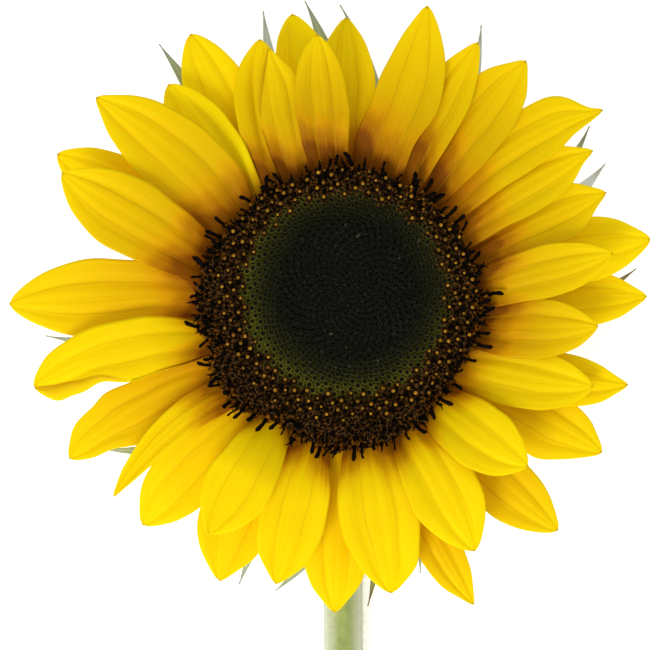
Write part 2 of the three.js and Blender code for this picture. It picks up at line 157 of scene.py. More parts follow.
# Petals whose painted shade is deeper or lighter than their neighbours'
DEEPER_SHADE = {1: 0.6, 2: 0.5, 3: 0.15, 4: 0.3, 5: -0.55, 6: -0.3, 7: 0.1, 8: 0.3, 9: 0.6, 10: -0.55, 11: -0.3,
          12: 0.15, 13: 0.1, 14: 0.1, 15: -0.15, 16: -0.1, 17: 0.1, 18: -0.6, 19: 0.05, 20: -0.4, 21: 0.5,
          22: -0.35, 23: -0.25, 24: 0.1, 25: -0.1, 26: 0.5, 28: 0.65, 30: 0.3, 31: 0.15, 32: 0.35, 33: 0.2,
          34: 0.4, 35: 0.35, 36: 0.9, 37: 0.35}
# How much further, or less far, the painted shade at the base reaches on some petals
BASE_SHADE_FURTHER = {2: 0.8, 4: 0.9, 8: 0.4, 9: 1.0, 12: 0.8, 13: 1.5, 14: 1.5, 15: 1.1, 16: 1.3, 17: 1.1, 18: -0.5,
           19: 0.4, 21: 0.8, 23: 0.8, 30: -0.4, 34: -0.2, 35: 0.6}
# How much shorter the painted shade at the base is on some petals, in tenths of their length
BASE_SHADE_SHORTER = {1: 0.7, 2: 0.3, 3: 0.9, 4: 0.5, 6: -0.5, 9: 0.2, 11: -0.8, 12: 0.1, 13: -0.5, 17: -0.3,
                 18: 0.7, 19: 0.1, 20: 0.9, 22: -0.5, 23: 0.6, 24: 1.8, 25: 0.2, 26: 0.3, 28: 1.2, 30: 1.7,
                 31: 0.1, 32: 1.8, 33: 1.3, 34: 1.3, 35: -0.3, 36: 1.6, 37: 0.9}
# How dark the left margin is where it lies under the next petal
SHADED_MARGINS = {5: 0.4, 13: 1.0, 14: 0.8, 15: 0.5, 16: 0.6, 17: 1.0}

# A bract: a lower row goes from the cup's back down to the floor, an upper one hangs above it
BRACT_ROWS = 44
BRACT_COLUMNS = 11
BRACT_KEEL = 0.5
BRACT_THICKNESS = 0.7
BRACT_TAPER = 1.12
BRACT_BELLY = 0.83
BRACT_SEED = 500
LOWER_BRACT_START = 17.5
LOWER_BRACT_SHOULDER = 30
LOWER_BRACT_SHOULDER_HEIGHT = 26.4
UPPER_BRACT_START = 30.5
UPPER_BRACT_HEIGHT = 28.4
CUP_TO_BRACT = 0.35
# Base azimuth, tip azimuth, reach, width, tip height, sideways bow
BRACTS = [
    (150, 150, 66.0, 12.0, 0, 0.0),
    (127, 123, 79.2, 9.5, 26, -0.8),
    (112, 103, 82.5, 11.0, 0, 1.3),
    (86, 96, 77.9, 10.0, 24, -2.6),
    (74, 89.7, 81.9, 9.0, 0, -6.2),
    (71, 78, 63.5, 9.0, 22, 0.0),
    (52, 65.3, 84.6, 10.5, 0, -5.0),
    (22, 38.2, 77.0, 9.0, 20, -4.0),
    (20, 32.6, 77.9, 16.0, 0, -5.0),
    (-4, 9.8, 72.1, 9.0, 23, -4.0),
    (-16, -20, 66.0, 11.5, 0, 0.0),
    (-40, -43, 63.0, 11.0, 21, 0.0),
    (-64, -71.4, 62.0, 11.0, 0, 3.0),
    (-80, -84.2, 68.2, 7.6, 15, 3.0),
    (-98, -103.2, 66.0, 10.5, 17, 6.3),
    (-118, -111.4, 66.0, 13.0, 0, 1.0),
    (-138, -151.4, 65.1, 6.5, 27, 5.0),
    (-172, -179.4, 71.5, 9.5, 0, 4.0),
]
# Bracts that are drier, from 0 to 1, or paler, from 0 to -1
DRY = {3: -0.3, 7: -0.5, 8: 0.3, 9: -0.85, 10: 0.6, 14: 1.0}

# The cup: a shallow bowl with a boss under the disc
CUP_BACK_HEIGHT = 21.2
CUP_BACK_RADIUS = 6.2
CUP_RIM_RADIUS = 34.5
CUP_RIM_HEIGHT = 33.6
CUP_CURVE = 2.2
CUP_SHOULDER_HEIGHT = 35.95
CUP_BOSS_RADIUS = 27.8
CUP_BOSS_HEIGHT = 38.1
CUP_ROWS = 28
CUP_SIDES = 180
CUP_HAIR_LENGTH = 0.7

# The stem: straight along the floor, then bent up into the cup's back
STEM_RADIUS = 4.83
STEM_REACH = 200
STEM_OFFSET = 1.2
STEM_STRAIGHT_START = 60
STEM_BEND_RADIUS = 16
STEM_NECK_RADIUS = 5.8
STEM_END_BELOW_CUP = 0.3
STEM_RIBS = 11
STEM_RIB_HEIGHT = 0.10
STEM_SIDES = 60
STEM_ROWS = 60
STEM_BEND_ROWS = 24
# Rings of points over the cut end: share of the stem's radius, depth below its rim in mm, paleness
STEM_CUT = [(0.12, 0.7, 1.0), (0.45, 0.5, 1.0), (0.62, 0.25, 0.7), (0.80, 0.0, 0.35), (0.97, 0.0, 0.0)]

# The domed disc, and the ring of open florets round it
DISC_CENTRE = (1.5, 3.0)
DISC_RADIUS = 24.3
DISC_BOTTOM = 38.4
DISC_TOP = 43.1
DISC_FALL = 0.0020
DISC_SIDES = 72
RING_RADIUS = 34.6
RING_HEEL_RADIUS = 28.2
RING_OUTER_BOTTOM = 41.2
# How far the open florets reach from the head's axis, every 15 degrees from +X
RING_EDGE = (35.3, 34.4, 35.0, 34.4, 34.4, 35.6, 35.3, 33.9, 34.5, 33.3, 33.8, 34.8,
             34.4, 32.9, 34.7, 35.2, 31.4, 33.2, 35.0, 35.2, 34.6, 33.0, 32.8, 34.2)
RING_EDGE_LEAST = 30
RING_EDGE_RANGE = 6
RING_SIDES = 96
# The bed under the florets: how far inside their edge it stays, its least radius, in mm, at three heights
RING_INSETS = ((1.7, 30.6), (2.1, 30.4), (3.1, 29.8))
# The beds lie a little lower than the solids, so that the buds and florets stand in them
DISC_BED_DROP = 0.1
RING_BED_DROP = 0.4
RING_GAP = 0.35
# How the closed buds' spiral widens, and how far the buds reach past the disc's edge, in mm
BUD_GROWTH = 0.62
BUD_OVERLAP = 1.2
# Area of one bud, as a share of its spacing squared, where the buds are packed as closely as cells
BUD_CELL = 0.866

# The picture's width in pixels, one pixel's size at the petals' height, and the head's place in the picture
PICTURE_WIDTH = 650
PIXEL = 0.0002344
HEAD_RIGHT_OF_MIDDLE = 14
HEAD_ABOVE_MIDDLE = 15
PETALS_HEIGHT = 0.0392
SENSOR_WIDTH = 36
FLOOR_REACH = 2
# Soft lights round the bloom: place from the head and size in metres, share of the key light's power
LIGHTS = {"key": ((-0.22, -0.46, 0.46), 0.26, 1.0), "fill": ((0.45, 0.30, 0.80), 0.80, 0.30)}
LIT_HEIGHT = 0.04


def srgb(red, green, blue):
    """A colour given as screen values from 0 to 255, made linear."""
    def linear(value):
        value = value / 255
        return value / 12.92 if value <= 0.04045 else ((value + 0.055) / 1.055) ** 2.4
    return (linear(red), linear(green), linear(blue), 1.0)


def length_property(name, description, default):
    return FloatProperty(name=name, description=description, default=default, min=0.0,
                         unit="LENGTH", subtype="DISTANCE", precision=5)


def colour_property(name, description, default):
    return FloatVectorProperty(name=name, description=description, default=default[:3], size=3,
                               min=0.0, max=1.0, subtype="COLOR")


class PetalSettings(bpy.types.PropertyGroup):
    thickness: length_property("Thickness", "Thickness of a petal", 0.00036)
    crease: length_property("Crease", "Depth of the two long creases in a petal", 0.00060)
    ripple: length_property("Ripple", "Height of the soft waves along a petal's margins", 0.00045)
    yellow: colour_property("Yellow", "Petal colour in full light", srgb(254, 221, 0))
    deep_yellow: colour_property("Deep yellow", "Petal colour in creases and veins", srgb(232, 188, 0))
    # The old yellow is painted shade, on the petals on the side of the bloom away from the key light
    shade_colour: colour_property("Old yellow", "Deeper yellow of the older petals", srgb(194, 148, 0))
    orange: colour_property("Orange", "Petal colour on the way to the base", srgb(214, 142, 0))
    # Base: painted shadow of the florets and of overlapping petals at the petals' base
    base_shade_colour: colour_property("Base", "Petal colour where it goes in under the florets", srgb(120, 66, 0))


class HeadSettings(bpy.types.PropertyGroup):
    bud_spacing: length_property("Bud spacing", "Distance between closed buds at the disc's edge", 0.00182)
    floret_spacing: length_property("Floret packing", "Growth step of the open florets' spiral", 0.00130)
    filler_spacing: length_property("Spent floret packing", "Growth step of the florets between", 0.00122)
    bud_colour: colour_property("Bud", "Closed buds in the middle of the disc", srgb(16, 17, 8))
    net_colour: colour_property("Net", "Pale rims between the outer buds", srgb(90, 88, 22))
    tube_colour: colour_property("Anther tube", "Anther tubes of the open florets", srgb(16, 10, 6))
    corolla_colour: colour_property("Corolla", "Lobes of the open florets", srgb(98, 66, 29))
    rim_colour: colour_property("Rim", "Lobes of the outermost florets", srgb(142, 84, 10))
    pollen_colour: colour_property("Pollen", "Pollen on the anther tubes", srgb(200, 142, 38))
    stigma_colour: colour_property("Stigma", "Curled stigmas of the oldest florets", srgb(112, 80, 42))
    seed: IntProperty(name="Seed", description="Seed of all uneven florets", default=7, min=0)


class GreenSettings(bpy.types.PropertyGroup):
    hair_length: length_property("Hair length", "Length of the hairs on the stem", 0.0011)
    bract_hair_length: length_property("Margin hair length", "Length of the hairs on the bracts", 0.0008)
    stem_colour: colour_property("Stem", "Fresh green of the stem", srgb(150, 166, 94))
    cup_colour: colour_property("Cup", "Green of the cup's back", srgb(122, 144, 80))
    bract_colour: colour_property("Bract", "Grey-green of the bracts", srgb(166, 182, 148))
    hair_colour: colour_property("Hair", "Pale hairs", srgb(226, 230, 206))


class StageSettings(bpy.types.PropertyGroup):
    camera_distance: length_property("Camera distance", "From the bloom's face to the camera", 0.90)
    camera_elevation: FloatProperty(name="Camera elevation", description="Angle above the floor",
                                    default=math.radians(82), subtype="ANGLE", unit="ROTATION")
    key_power: FloatProperty(name="Key light", description="Power of the large soft light",
                             default=2.8, min=0.0, unit="POWER")
    sky: FloatProperty(name="Sky", description="Strength of the even light from all round",
                       default=0.66, min=0.0)
    floor_colour: colour_property("Floor", "Pale floor", (0.93, 0.93, 0.93, 1.0))
    floor_glow: FloatProperty(name="Floor glow", description="Light that the white table itself gives off",
                              default=0.50, min=0.0)


def smoothstep(value):
    t = np.clip(value, 0.0, 1.0)
    return t * t * (3 - 2 * t)


def hermite(x, x0, z0, slope0, x1, z1, slope1):
    span = x1 - x0
    t = (x - x0) / span
    return ((2 * t ** 3 - 3 * t ** 2 + 1) * z0 + (t ** 3 - 2 * t ** 2 + t) * span * slope0
            + (3 * t ** 2 - 2 * t ** 3) * z1 + (t ** 3 - t ** 2) * span * slope1)


# Petals and bracts are measured by s, from 0 at the base to 1 at the tip, and by v, from 1 at the left
# margin to -1 at the right one
def midline(base_radius, base_azimuth, reach, tip_azimuth, bow, s):
    """Places along the middle of a blade, and the unit direction across it."""
    base = math.radians(base_azimuth)
    tip = math.radians(tip_azimuth)
    start_x, start_y = base_radius * math.cos(base), base_radius * math.sin(base)
    run_x = reach * math.cos(tip) - start_x
    run_y = reach * math.sin(tip) - start_y
    length = math.hypot(run_x, run_y)
    side = bow * 4 * s * (1 - s)
    slope = bow * 4 * (1 - 2 * s) / length
    across_x = -run_y / length - slope * run_x / length
    across_y = run_x / length - slope * run_y / length
    scale = np.hypot(across_x, across_y)
    x = start_x + run_x * s - run_y / length * side
    y = start_y + run_y * s + run_x / length * side
    return x, y, across_x / scale, across_y / scale


def mesh_object(name, points, faces):
    """A new object from points in millimetres measured from the head's axis and the floor."""
    mesh = bpy.data.meshes.new(name)
    co = np.asarray(points, dtype=float).reshape(-1, 3) * MM + np.array((HEAD_X, HEAD_Y, 0.0))
    mesh.from_pydata(co.tolist(), [], faces)
    mesh.update()
    mesh.polygons.foreach_set("use_smooth", [True] * len(mesh.polygons))
    piece = bpy.data.objects.new(name, mesh)
    bpy.context.collection.objects.link(piece)
    return piece


def mark(piece, name, value):
    """Gives each point of a piece a number under a name: one for all of them, or a list."""
    numbers = np.empty(len(piece.data.vertices))
    numbers[:] = value
    piece.data.attributes.new(name, "FLOAT", "POINT").data.foreach_set("value", numbers)


def paint(piece, colours):
    """Gives the points of a piece their own plain colours: one for all of them, or a list."""
    values = np.empty((len(piece.data.vertices), 4))
    values[:] = colours
    tint = piece.data.color_attributes.new("tint", "FLOAT_COLOR", "POINT")
    tint.data.foreach_set("color", values.ravel())


def grid_faces(rows, columns, closed=False, first=0, flip=False):
    faces = []
    for i in range(rows - 1):
        for j in range(columns if closed else columns - 1):
            k = (j + 1) % columns
            quad = (first + i * columns + j, first + i * columns + k,
                    first + (i + 1) * columns + k, first + (i + 1) * columns + j)
            faces.append(quad[::-1] if flip else quad)
    return faces


def blade_object(name, under, top, across=None):
    """A closed thin blade between two grids of points, with a UV map: across, then along."""
    rows, columns = under.shape[:2]
    count = rows * columns
    faces = grid_faces(rows, columns) + grid_faces(rows, columns, first=count, flip=True)
    border = [(i, 0) for i in range(rows)]
    border += [(rows - 1, j) for j in range(1, columns)]
    border += [(i, columns - 1) for i in range(rows - 2, -1, -1)]
    border += [(0, j) for j in range(columns - 2, 0, -1)]
    rim_start = len(faces)
    for (a, b), (c, d) in zip(border, border[1:] + border[:1]):
        low, next_low = a * columns + b, c * columns + d
        faces.append((low, next_low, next_low + count, low + count))
    piece = mesh_object(name, np.concatenate([under.reshape(-1, 3), top.reshape(-1, 3)]), faces)
    mesh = piece.data
    uv = mesh.uv_layers.new(name="UVMap")
    along = np.repeat(np.linspace(0, 1, rows), columns)
    if across is None:
        across = np.tile(np.linspace(0, 1, columns), rows)
    corner = np.empty(len(mesh.loops), dtype=int)
    mesh.loops.foreach_get("vertex_index", corner)
    corner %= count
    uv.data.foreach_set("uv", np.stack([across[corner], along[corner]], axis=1).ravel())
    rim = mesh.attributes.new("rim", "BOOLEAN", "FACE")
    rim.data.foreach_set("value", [i >= rim_start for i in range(len(mesh.polygons))])
    mesh.polygons.foreach_set("use_smooth", [i < rim_start for i in range(len(mesh.polygons))])
    return piece


def petal_columns(turned, s):
    """Places across a petal, from 1 to -1; in a turned one a column of points runs along the fold."""
    if not turned:
        return np.linspace(1, -1, PETAL_COLUMNS)[None, :]
    side, start, kept = turned
    fold = 1 - (1 - kept) * np.clip((s - start) / (0.97 - start), 0, 1)
    flap = 1 + (fold - 1) * np.linspace(0, 1, TURNED_COLUMNS)[None, :]
    flap[:, :-1] += 0.02 * np.linspace(1, 0, TURNED_COLUMNS - 1)[None, :]
    body = fold + (-1 - fold) * np.linspace(0, 1, PETAL_COLUMNS - TURNED_COLUMNS + 1)[None, 1:]
    v = np.concatenate([flap, body], axis=1)
    return v if side > 0 else -v[:, ::-1]


def petal_half(width, widest, point, phase, s, v):
    """Half of a petal's width along it: narrow at the claw, drawn in at a pointed tip, a little uneven."""
    power = math.log(0.5) / math.log(widest)
    bulge = np.sin(np.pi * s ** power).clip(0) ** PETAL_ROUNDNESS
    half = CLAW_WIDTH / 2 * (1 - s) + (width - CLAW_WIDTH * (1 - widest)) / 2 * bulge
    half = half + PETAL_SHOULDER * smoothstep(s / 0.06) * (1 - smoothstep(s / 0.45))
    half = half * (1 - PETAL_POINTING * point * smoothstep((s - 0.84) / 0.16)) + PETAL_LEAST_HALF
    return half * (1 + 0.018 * np.sin(11 * s + phase[0]) + 0.012 * np.sin(23 * s + phase[1] + 2 * v))


def petal_relief(point, settings, rng, phase, s, v):
    """Heights over a petal: two long creases, veins, a hollow, soft waves and a boat-shaped tip."""
    body = smoothstep(s / 0.12) * np.sin(np.pi * np.minimum(s, 0.96))
    opened = smoothstep(s / 0.25)
    closing = 1 - smoothstep((s - 0.8) / 0.2)
    crease_place = 0.40 + 0.05 * np.sin(3 * s + phase[2])
    crease = -np.exp(-((np.abs(v) - crease_place) / 0.15) ** 2) - 0.35 * np.exp(-(v / 0.07) ** 2)
    crease = crease * settings.crease / MM * opened * (0.35 + 0.65 * closing)
    veins = 0.035 * np.cos(34 * v + 1.5 * np.sin(4 * s + phase[3])) * opened
    cup = (0.30 + 0.35 * rng.uniform(-1, 1)) * v * v * body
    wave = settings.ripple / MM * v * v * v * np.sin((5 + 2 * rng.uniform()) * s + phase[4]) * body
    boat = 1.1 * point * v * v * smoothstep((s - 0.78) / 0.22) * (1.2 - s)
    return crease + veins + cup + wave + boat


def petal_grid(petal, turned, swellings, rng, settings):
    """Underside and upper side of one petal, by the solids' rule with its creases and waves added."""
    claw, tip_azimuth, reach, width, level, roll, bow, widest, point = petal
    s = np.linspace(0, 1, PETAL_ROWS)[:, None]
    v = petal_columns(turned, s)
    phase = rng.uniform(0, WAVE_TURN, 6)
    half = petal_half(width, widest, point, phase, s, v)
    climb = smoothstep(s * (reach - CLAW_RADIUS) / PETAL_RISE_LENGTH)
    rise = level * (CLAW_STEP + PETAL_LEVEL_RISE * climb)
    tip = (PETAL_TIP_LIFT * level - PETAL_TIP_DROP) * s * s
    steeper = 2 - smoothstep((s - 0.1) / 0.35)
    rolled = half * v * np.tan(np.radians(roll * steeper)) * smoothstep(s / 0.08)
    if turned:
        past = np.abs(v - v[:, TURNED_COLUMNS - 1:TURNED_COLUMNS]) * half
        past[:, TURNED_COLUMNS:] = 0
        rise = rise - 0.5 * past
    for side, place, spread, swelling in swellings:
        half = half + swelling * np.exp(-((s - place) / spread) ** 2) * (v * side > 0)
    z = CLAW_HEIGHT + 0.1 + rise + tip + rolled + petal_relief(point, settings, rng, phase, s, v)
    x, y, across_x, across_y = midline(CLAW_RADIUS, claw, reach, tip_azimuth, bow, s)
    under = np.stack(np.broadcast_arrays(x + across_x * half * v, y + across_y * half * v, z), axis=2)
    top = under.copy()
    top[:, :, 2] += settings.thickness / MM * (1 - 0.55 * np.abs(v) ** 6 - 0.2 * s)
    across = np.clip((1 - np.broadcast_to(v, (PETAL_ROWS, PETAL_COLUMNS))) / 2, 0, 1)
    return under, top, across.ravel()


def turned_back(turned):
    """How far each point of a petal shows its back on the turned margin: partly the back's own deeper yellow,
    partly painted shade, which grows towards the fold and fades in where the fold starts.
    """
    value = np.zeros((PETAL_ROWS, PETAL_COLUMNS))
    if turned:
        start = int(PETAL_ROWS * turned[1])
        fading = np.clip((np.arange(PETAL_ROWS) - start) / TURNED_FADE_ROWS, 0, 1)[:, None]
        value[:, :TURNED_COLUMNS] = fading * np.linspace(0.35, 1.0, TURNED_COLUMNS)[None, :] ** 2
    return np.tile(value.ravel(), 2)


def cup_back(radius):
    share = np.clip((radius - CUP_BACK_RADIUS) / (CUP_RIM_RADIUS - CUP_BACK_RADIUS), 0, None)
    return CUP_BACK_HEIGHT + (CUP_RIM_HEIGHT - CUP_BACK_HEIGHT) * share ** CUP_CURVE


def bract_grid(bract, rng):
    """Underside and upper side of one bract, by the solids' rule with its midrib and twist added."""
    base_azimuth, tip_azimuth, reach, width, tip_height, bow = bract
    lower = tip_height == 0
    start = LOWER_BRACT_START if lower else UPPER_BRACT_START
    s = np.linspace(0, 1, BRACT_ROWS)[:, None]
    v = np.linspace(1, -1, BRACT_COLUMNS)[None, :]
    x, y, across_x, across_y = midline(start, base_azimuth, reach, tip_azimuth, bow, s)
    radius = np.minimum(reach, np.hypot(x, y))
    if lower:
        start_height = cup_back(LOWER_BRACT_START) - CUP_TO_BRACT - BRACT_THICKNESS - BRACT_KEEL
        hug = hermite(radius, LOWER_BRACT_START, start_height, 0.2,
                      LOWER_BRACT_SHOULDER, LOWER_BRACT_SHOULDER_HEIGHT, 0.25)
        fall = hermite(radius, LOWER_BRACT_SHOULDER, LOWER_BRACT_SHOULDER_HEIGHT, 0.25, reach, 0, -1.0)
        height = np.where(radius < LOWER_BRACT_SHOULDER, hug, fall)
    else:
        height = hermite(radius, UPPER_BRACT_START, UPPER_BRACT_HEIGHT, 0.15, reach, tip_height, -0.4)
    blunt = 0.62 + 0.28 * smoothstep(s / 0.25)
    half = np.maximum(width / 2 * blunt * (1 - s) ** BRACT_TAPER * (1 + BRACT_BELLY * s), 0.14)
    keel = BRACT_KEEL * v * v * (1 - s)
    rib = 0.22 * np.exp(-(v / 0.12) ** 2) * (1 - s)
    wave = 0.25 * v * np.sin(7 * s + rng.uniform(0, WAVE_TURN)) * np.sin(np.pi * s)
    z = height + keel - rib + wave + 0.05
    under = np.stack(np.broadcast_arrays(x + across_x * half * v, y + across_y * half * v, z), axis=2)
    under[:, :, 2] = np.maximum(under[:, :, 2], 0.02)
    top = under.copy()
    top[:, :, 2] += 0.55 * (1 - 0.5 * np.abs(v) ** 4) * (1 - 0.6 * s) + 0.08
    return under, top


def lathe_points(profile, sides, centre=(0.0, 0.0)):
    angle = np.linspace(0, TURN, sides, endpoint=False)[None, :]
    radius = np.array([p[0] for p in profile])[:, None]
    z = np.array([p[1] for p in profile])[:, None]
    return np.stack(np.broadcast_arrays(centre[0] + radius * np.cos(angle),
                                        centre[1] + radius * np.sin(angle), z), axis=2)


def closed_stack(name, points):
    """A closed body from rings of points, bottom ring first, counter-clockwise, with a fan at each end."""
    rows, columns = points.shape[:2]
    flat = points.reshape(-1, 3)
    faces = grid_faces(rows, columns, closed=True)
    low, high = len(flat), len(flat) + 1
    flat = np.concatenate([flat, [points[0].mean(0)], [points[-1].mean(0)]])
    for j in range(columns):
        k = (j + 1) % columns
        faces.append((low, k, j))
        faces.append((high, (rows - 1) * columns + j, (rows - 1) * columns + k))
    return mesh_object(name, flat, faces)


class Value:
    """A number, vector or colour inside a node tree, with which sums can be written out."""

    def __init__(self, nodes, socket):
        self.nodes = nodes
        self.socket = socket

    def joined(self, operation, first, second):
        join = self.nodes.vector if self.socket.type == "VECTOR" else self.nodes.math
        return join(operation, first, second)

    def __add__(self, other):
        return self.joined("ADD", self, other)

    def __sub__(self, other):
        return self.joined("SUBTRACT", self, other)

    def __rsub__(self, other):
        return self.joined("SUBTRACT", other, self)

    def __mul__(self, other):
        return self.joined("MULTIPLY", self, other)

    def __truediv__(self, other):
        return self.joined("DIVIDE", self, other)

    def __rtruediv__(self, other):
        return self.joined("DIVIDE", other, self)

    def __pow__(self, other):
        return self.joined("POWER", self, other)


class Nodes:
    """Short calls for building a node tree."""

    def __init__(self, tree):
        self.tree = tree

    def add(self, kind, inputs=None, **settings):
        node = self.tree.nodes.new(kind)
        for key, value in settings.items():
            setattr(node, key, value)
        for key, value in (inputs or {}).items():
            self.put(node.inputs[key], value)
        return node

    def put(self, socket, value):
        if isinstance(value, Value):
            self.tree.links.new(value.socket, socket)
        else:
            socket.default_value = rgba(value) if socket.type == "RGBA" else value

    def made(self, kind, inputs=None, output=0, **settings):
        """The value that a new node gives."""
        return Value(self, self.add(kind, inputs, **settings).outputs[output])

    def math(self, operation, *values):
        return self.made("ShaderNodeMath", dict(enumerate(values)), operation=operation)

    def vector(self, operation, *values):
        output = "Value" if operation in ("LENGTH", "DOT_PRODUCT") else 0
        return self.made("ShaderNodeVectorMath", dict(enumerate(values)), output, operation=operation)

    def scaled(self, vector, factor):
        return self.made("ShaderNodeVectorMath", {0: vector, "Scale": factor}, operation="SCALE")

    def parts(self, vector):
        node = self.add("ShaderNodeSeparateXYZ", {0: vector})
        return [Value(self, socket) for socket in node.outputs]

    def ramp(self, factor, stops, interpolation="LINEAR"):
        node = self.add("ShaderNodeValToRGB", {0: factor})
        ramp = node.color_ramp
        ramp.interpolation = interpolation
        while len(ramp.elements) < len(stops):
            ramp.elements.new(0.5)
        for element, (place, shade) in zip(ramp.elements, stops):
            element.position = place
            element.color = (shade, shade, shade, 1)
        return Value(self, node.outputs[0])

    def mix(self, factor, a, b, blend="MIX"):
        """Mixes two colours, by a factor from 0 to 1."""
        return self.made("ShaderNodeMix", {0: factor, 6: a, 7: b}, 2, data_type="RGBA", blend_type=blend)

    def noise(self, vector, scale, detail=2.0, roughness=0.5, stretch=None):
        if stretch:
            vector = self.made("ShaderNodeMapping", {"Vector": vector, "Scale": stretch})
        return self.made("ShaderNodeTexNoise", {
            "Vector": vector, "Scale": scale, "Detail": detail, "Roughness": roughness})

    def attribute(self, name, output="Fac"):
        return self.made("ShaderNodeAttribute", output=output, attribute_name=name)

    def place(self):
        return self.made("ShaderNodeTexCoord", output="Object")

    def blade_place(self):
        """The place on a blade's UV map, and its parts: across, then along."""
        place = self.made("ShaderNodeUVMap", uv_map="UVMap")
        return place, *self.parts(place)[:2]

    def finish(self, shader, colour, strength=0.0, distance=0.0, height=None):
        """Joins a colour, and a fine relief where there is one, to the shader."""
        self.put(shader.inputs["Base Color"], colour)
        if height is not None:
            bump = self.made("ShaderNodeBump", {"Strength": strength, "Distance": distance, "Height": height})
            self.put(shader.inputs["Normal"], bump)

    def scattered(self, low, high, seed):
        """A random vector, or a random number, for each point."""
        if isinstance(low, tuple):
            return self.made("FunctionNodeRandomValue", {0: low, 1: high, "Seed": seed},
                             data_type="FLOAT_VECTOR")
        return self.made("FunctionNodeRandomValue", {2: low, 3: high, "Seed": seed}, 1, data_type="FLOAT")

    def copies(self, points, given, rotation, scale):
        """Puts the given shape on points, makes the copies real and ends the tree."""
        shape = self.made("GeometryNodeObjectInfo", {"Object": given["Shape"]}, "Geometry")
        copies = self.made("GeometryNodeInstanceOnPoints", {
            "Points": points, "Instance": shape, "Rotation": rotation, "Scale": scale})
        solid = self.made("GeometryNodeRealizeInstances", {0: copies})
        painted = self.made("GeometryNodeSetMaterial", {"Geometry": solid, "Material": given["Material"]})
        self.add("NodeGroupOutput", {0: painted})


def rgba(colour):
    return (colour[0], colour[1], colour[2], 1.0)


def scaled(colour, factor):
    return tuple(c * factor for c in colour)


def new_material(name, roughness, specular, sheen=0.0):
    material = bpy.data.materials.new(name)
    material.use_nodes = True
    nodes = Nodes(material.node_tree)
    shader = material.node_tree.nodes["Principled BSDF"]
    shader.inputs["Roughness"].default_value = roughness
    shader.inputs["Specular IOR Level"].default_value = specular
    shader.inputs["Sheen Weight"].default_value = sheen
    return material, nodes, shader


def petal_yellow(nodes, settings, along, depth, vein, fine, blotch):
    """Yellow with deeper streaks, threads and worn patches; petals on the side of the bloom away from the key
    light get a deeper yellow as painted shade, strongest towards their base.
    """
    colour = nodes.mix(depth * (1.25 - along * 1.05), settings.yellow, settings.shade_colour)
    streaks = nodes.ramp(vein, [(0.36, 1.0), (0.52, 0.0)]) * (depth * 0.14 + 0.18)
    threads = nodes.ramp(fine, [(0.38, 1.0), (0.5, 0.0)]) * 0.14
    worn = nodes.ramp(blotch, [(0.45, 0.0), (0.75, 1.0)]) * 0.25
    for share in (streaks, threads, worn):
        colour = nodes.mix(share, colour, settings.deep_yellow)
    # The turned margin shows its back: partly its own deeper yellow, partly painted shade next to the fold
    return nodes.mix(nodes.attribute("back"), colour, srgb(186, 146, 0))


def petal_base(nodes, settings, colour, across, along, edge, depth, vein, blotch):
    """The orange and brown base: partly the petals' own orange, partly painted shade of the florets and of
    overlapping petals, which reaches further on the side of the bloom away from the key light, under other
    petals and along their open margins.
    """
    cover = nodes.attribute("cover")
    covered = cover * (depth * 0.6 + 0.4)
    open_side = (1.0 - cover) * (edge - 0.22)
    left = (0.5 - across) * depth
    uneven = vein * 0.10 + blotch * 0.22 - 0.18
    # How much further the base's painted shade reaches: under other petals, on the bloom's side away from the
    # key light, along open margins and on the left margin
    older = covered * 0.06 + depth * 0.115 + open_side * 0.30 + left * 0.09
    reach = along + uneven - older + nodes.attribute("short") * 0.1
    base = nodes.ramp(reach, [(0.04, 1.0), (0.15, 0.55), (0.32, 0.0)], "EASE")
    colour = nodes.mix(base, colour, settings.orange)
    sunlit = cover * nodes.math("MAXIMUM", 1.0 - depth, 0.0)
    deep = nodes.ramp(reach, [(0.03, 1.0), (0.10, 0.55), (0.22, 0.0)], "EASE") * (1.0 - sunlit * 0.9)
    return nodes.mix(deep, colour, settings.base_shade_colour)


def petal_material(settings):
    """Yellow, veined lengthwise, going orange and brown towards the florets, with painted shade at the base,
    along the creases and on the side of the bloom away from the key light.
    """
    material, nodes, shader = new_material("petal_skin", roughness=0.6, specular=0.05)
    shader.inputs["Subsurface Weight"].default_value = 0.22
    shader.inputs["Subsurface Radius"].default_value = (1.0, 0.55, 0.05)
    shader.inputs["Subsurface Scale"].default_value = 0.0015
    place, across, along = nodes.blade_place()
    shifted = place + nodes.made("ShaderNodeCombineXYZ", {"Z": nodes.attribute("tone")})
    vein = nodes.noise(shifted, 1.0, detail=3.0, roughness=0.6, stretch=(26.0, 1.1, 9.0))
    fine = nodes.noise(shifted, 1.0, stretch=(70.0, 2.2, 9.0))
    blotch = nodes.noise(shifted, 1.0, stretch=(2.4, 2.6, 9.0))
    depth = nodes.attribute("depth")
    edge = nodes.math("ABSOLUTE", across - 0.5)
    colour = petal_yellow(nodes, settings, along, depth, vein, fine, blotch)
    colour = petal_base(nodes, settings, colour, across, along, edge, depth, vein, blotch)
    lee = nodes.ramp(across, [(0.0, 1.0), (0.36, 0.0)], "EASE") * nodes.attribute("lee")
    lee = lee * nodes.ramp(along, [(0.10, 1.0), (0.48, 0.0)], "EASE")
    colour = nodes.mix(lee, colour, srgb(158, 100, 0))
    # Painted shade along the two long creases, stronger on the side of the bloom away from the key light
    groove = nodes.ramp(edge + blotch * 0.08 - 0.04, [(0.165, 0.0), (0.195, 0.55), (0.225, 0.0), (0.49, 0.0)])
    seen = nodes.ramp(along, [(0.10, 0.0), (0.35, 1.0), (0.80, 0.8), (0.98, 0.3)]) * (depth * 0.6 + 0.3)
    colour = nodes.mix(groove * seen, colour, srgb(178, 140, 0))
    tip = nodes.ramp(along - edge * 0.08, [(0.98, 0.0), (1.0, 1.0)])
    colour = nodes.mix(tip * 0.6, colour, srgb(150, 96, 20))
    nodes.finish(shader, colour, strength=0.35, distance=0.00025, height=fine * 0.5 + vein)
    return material


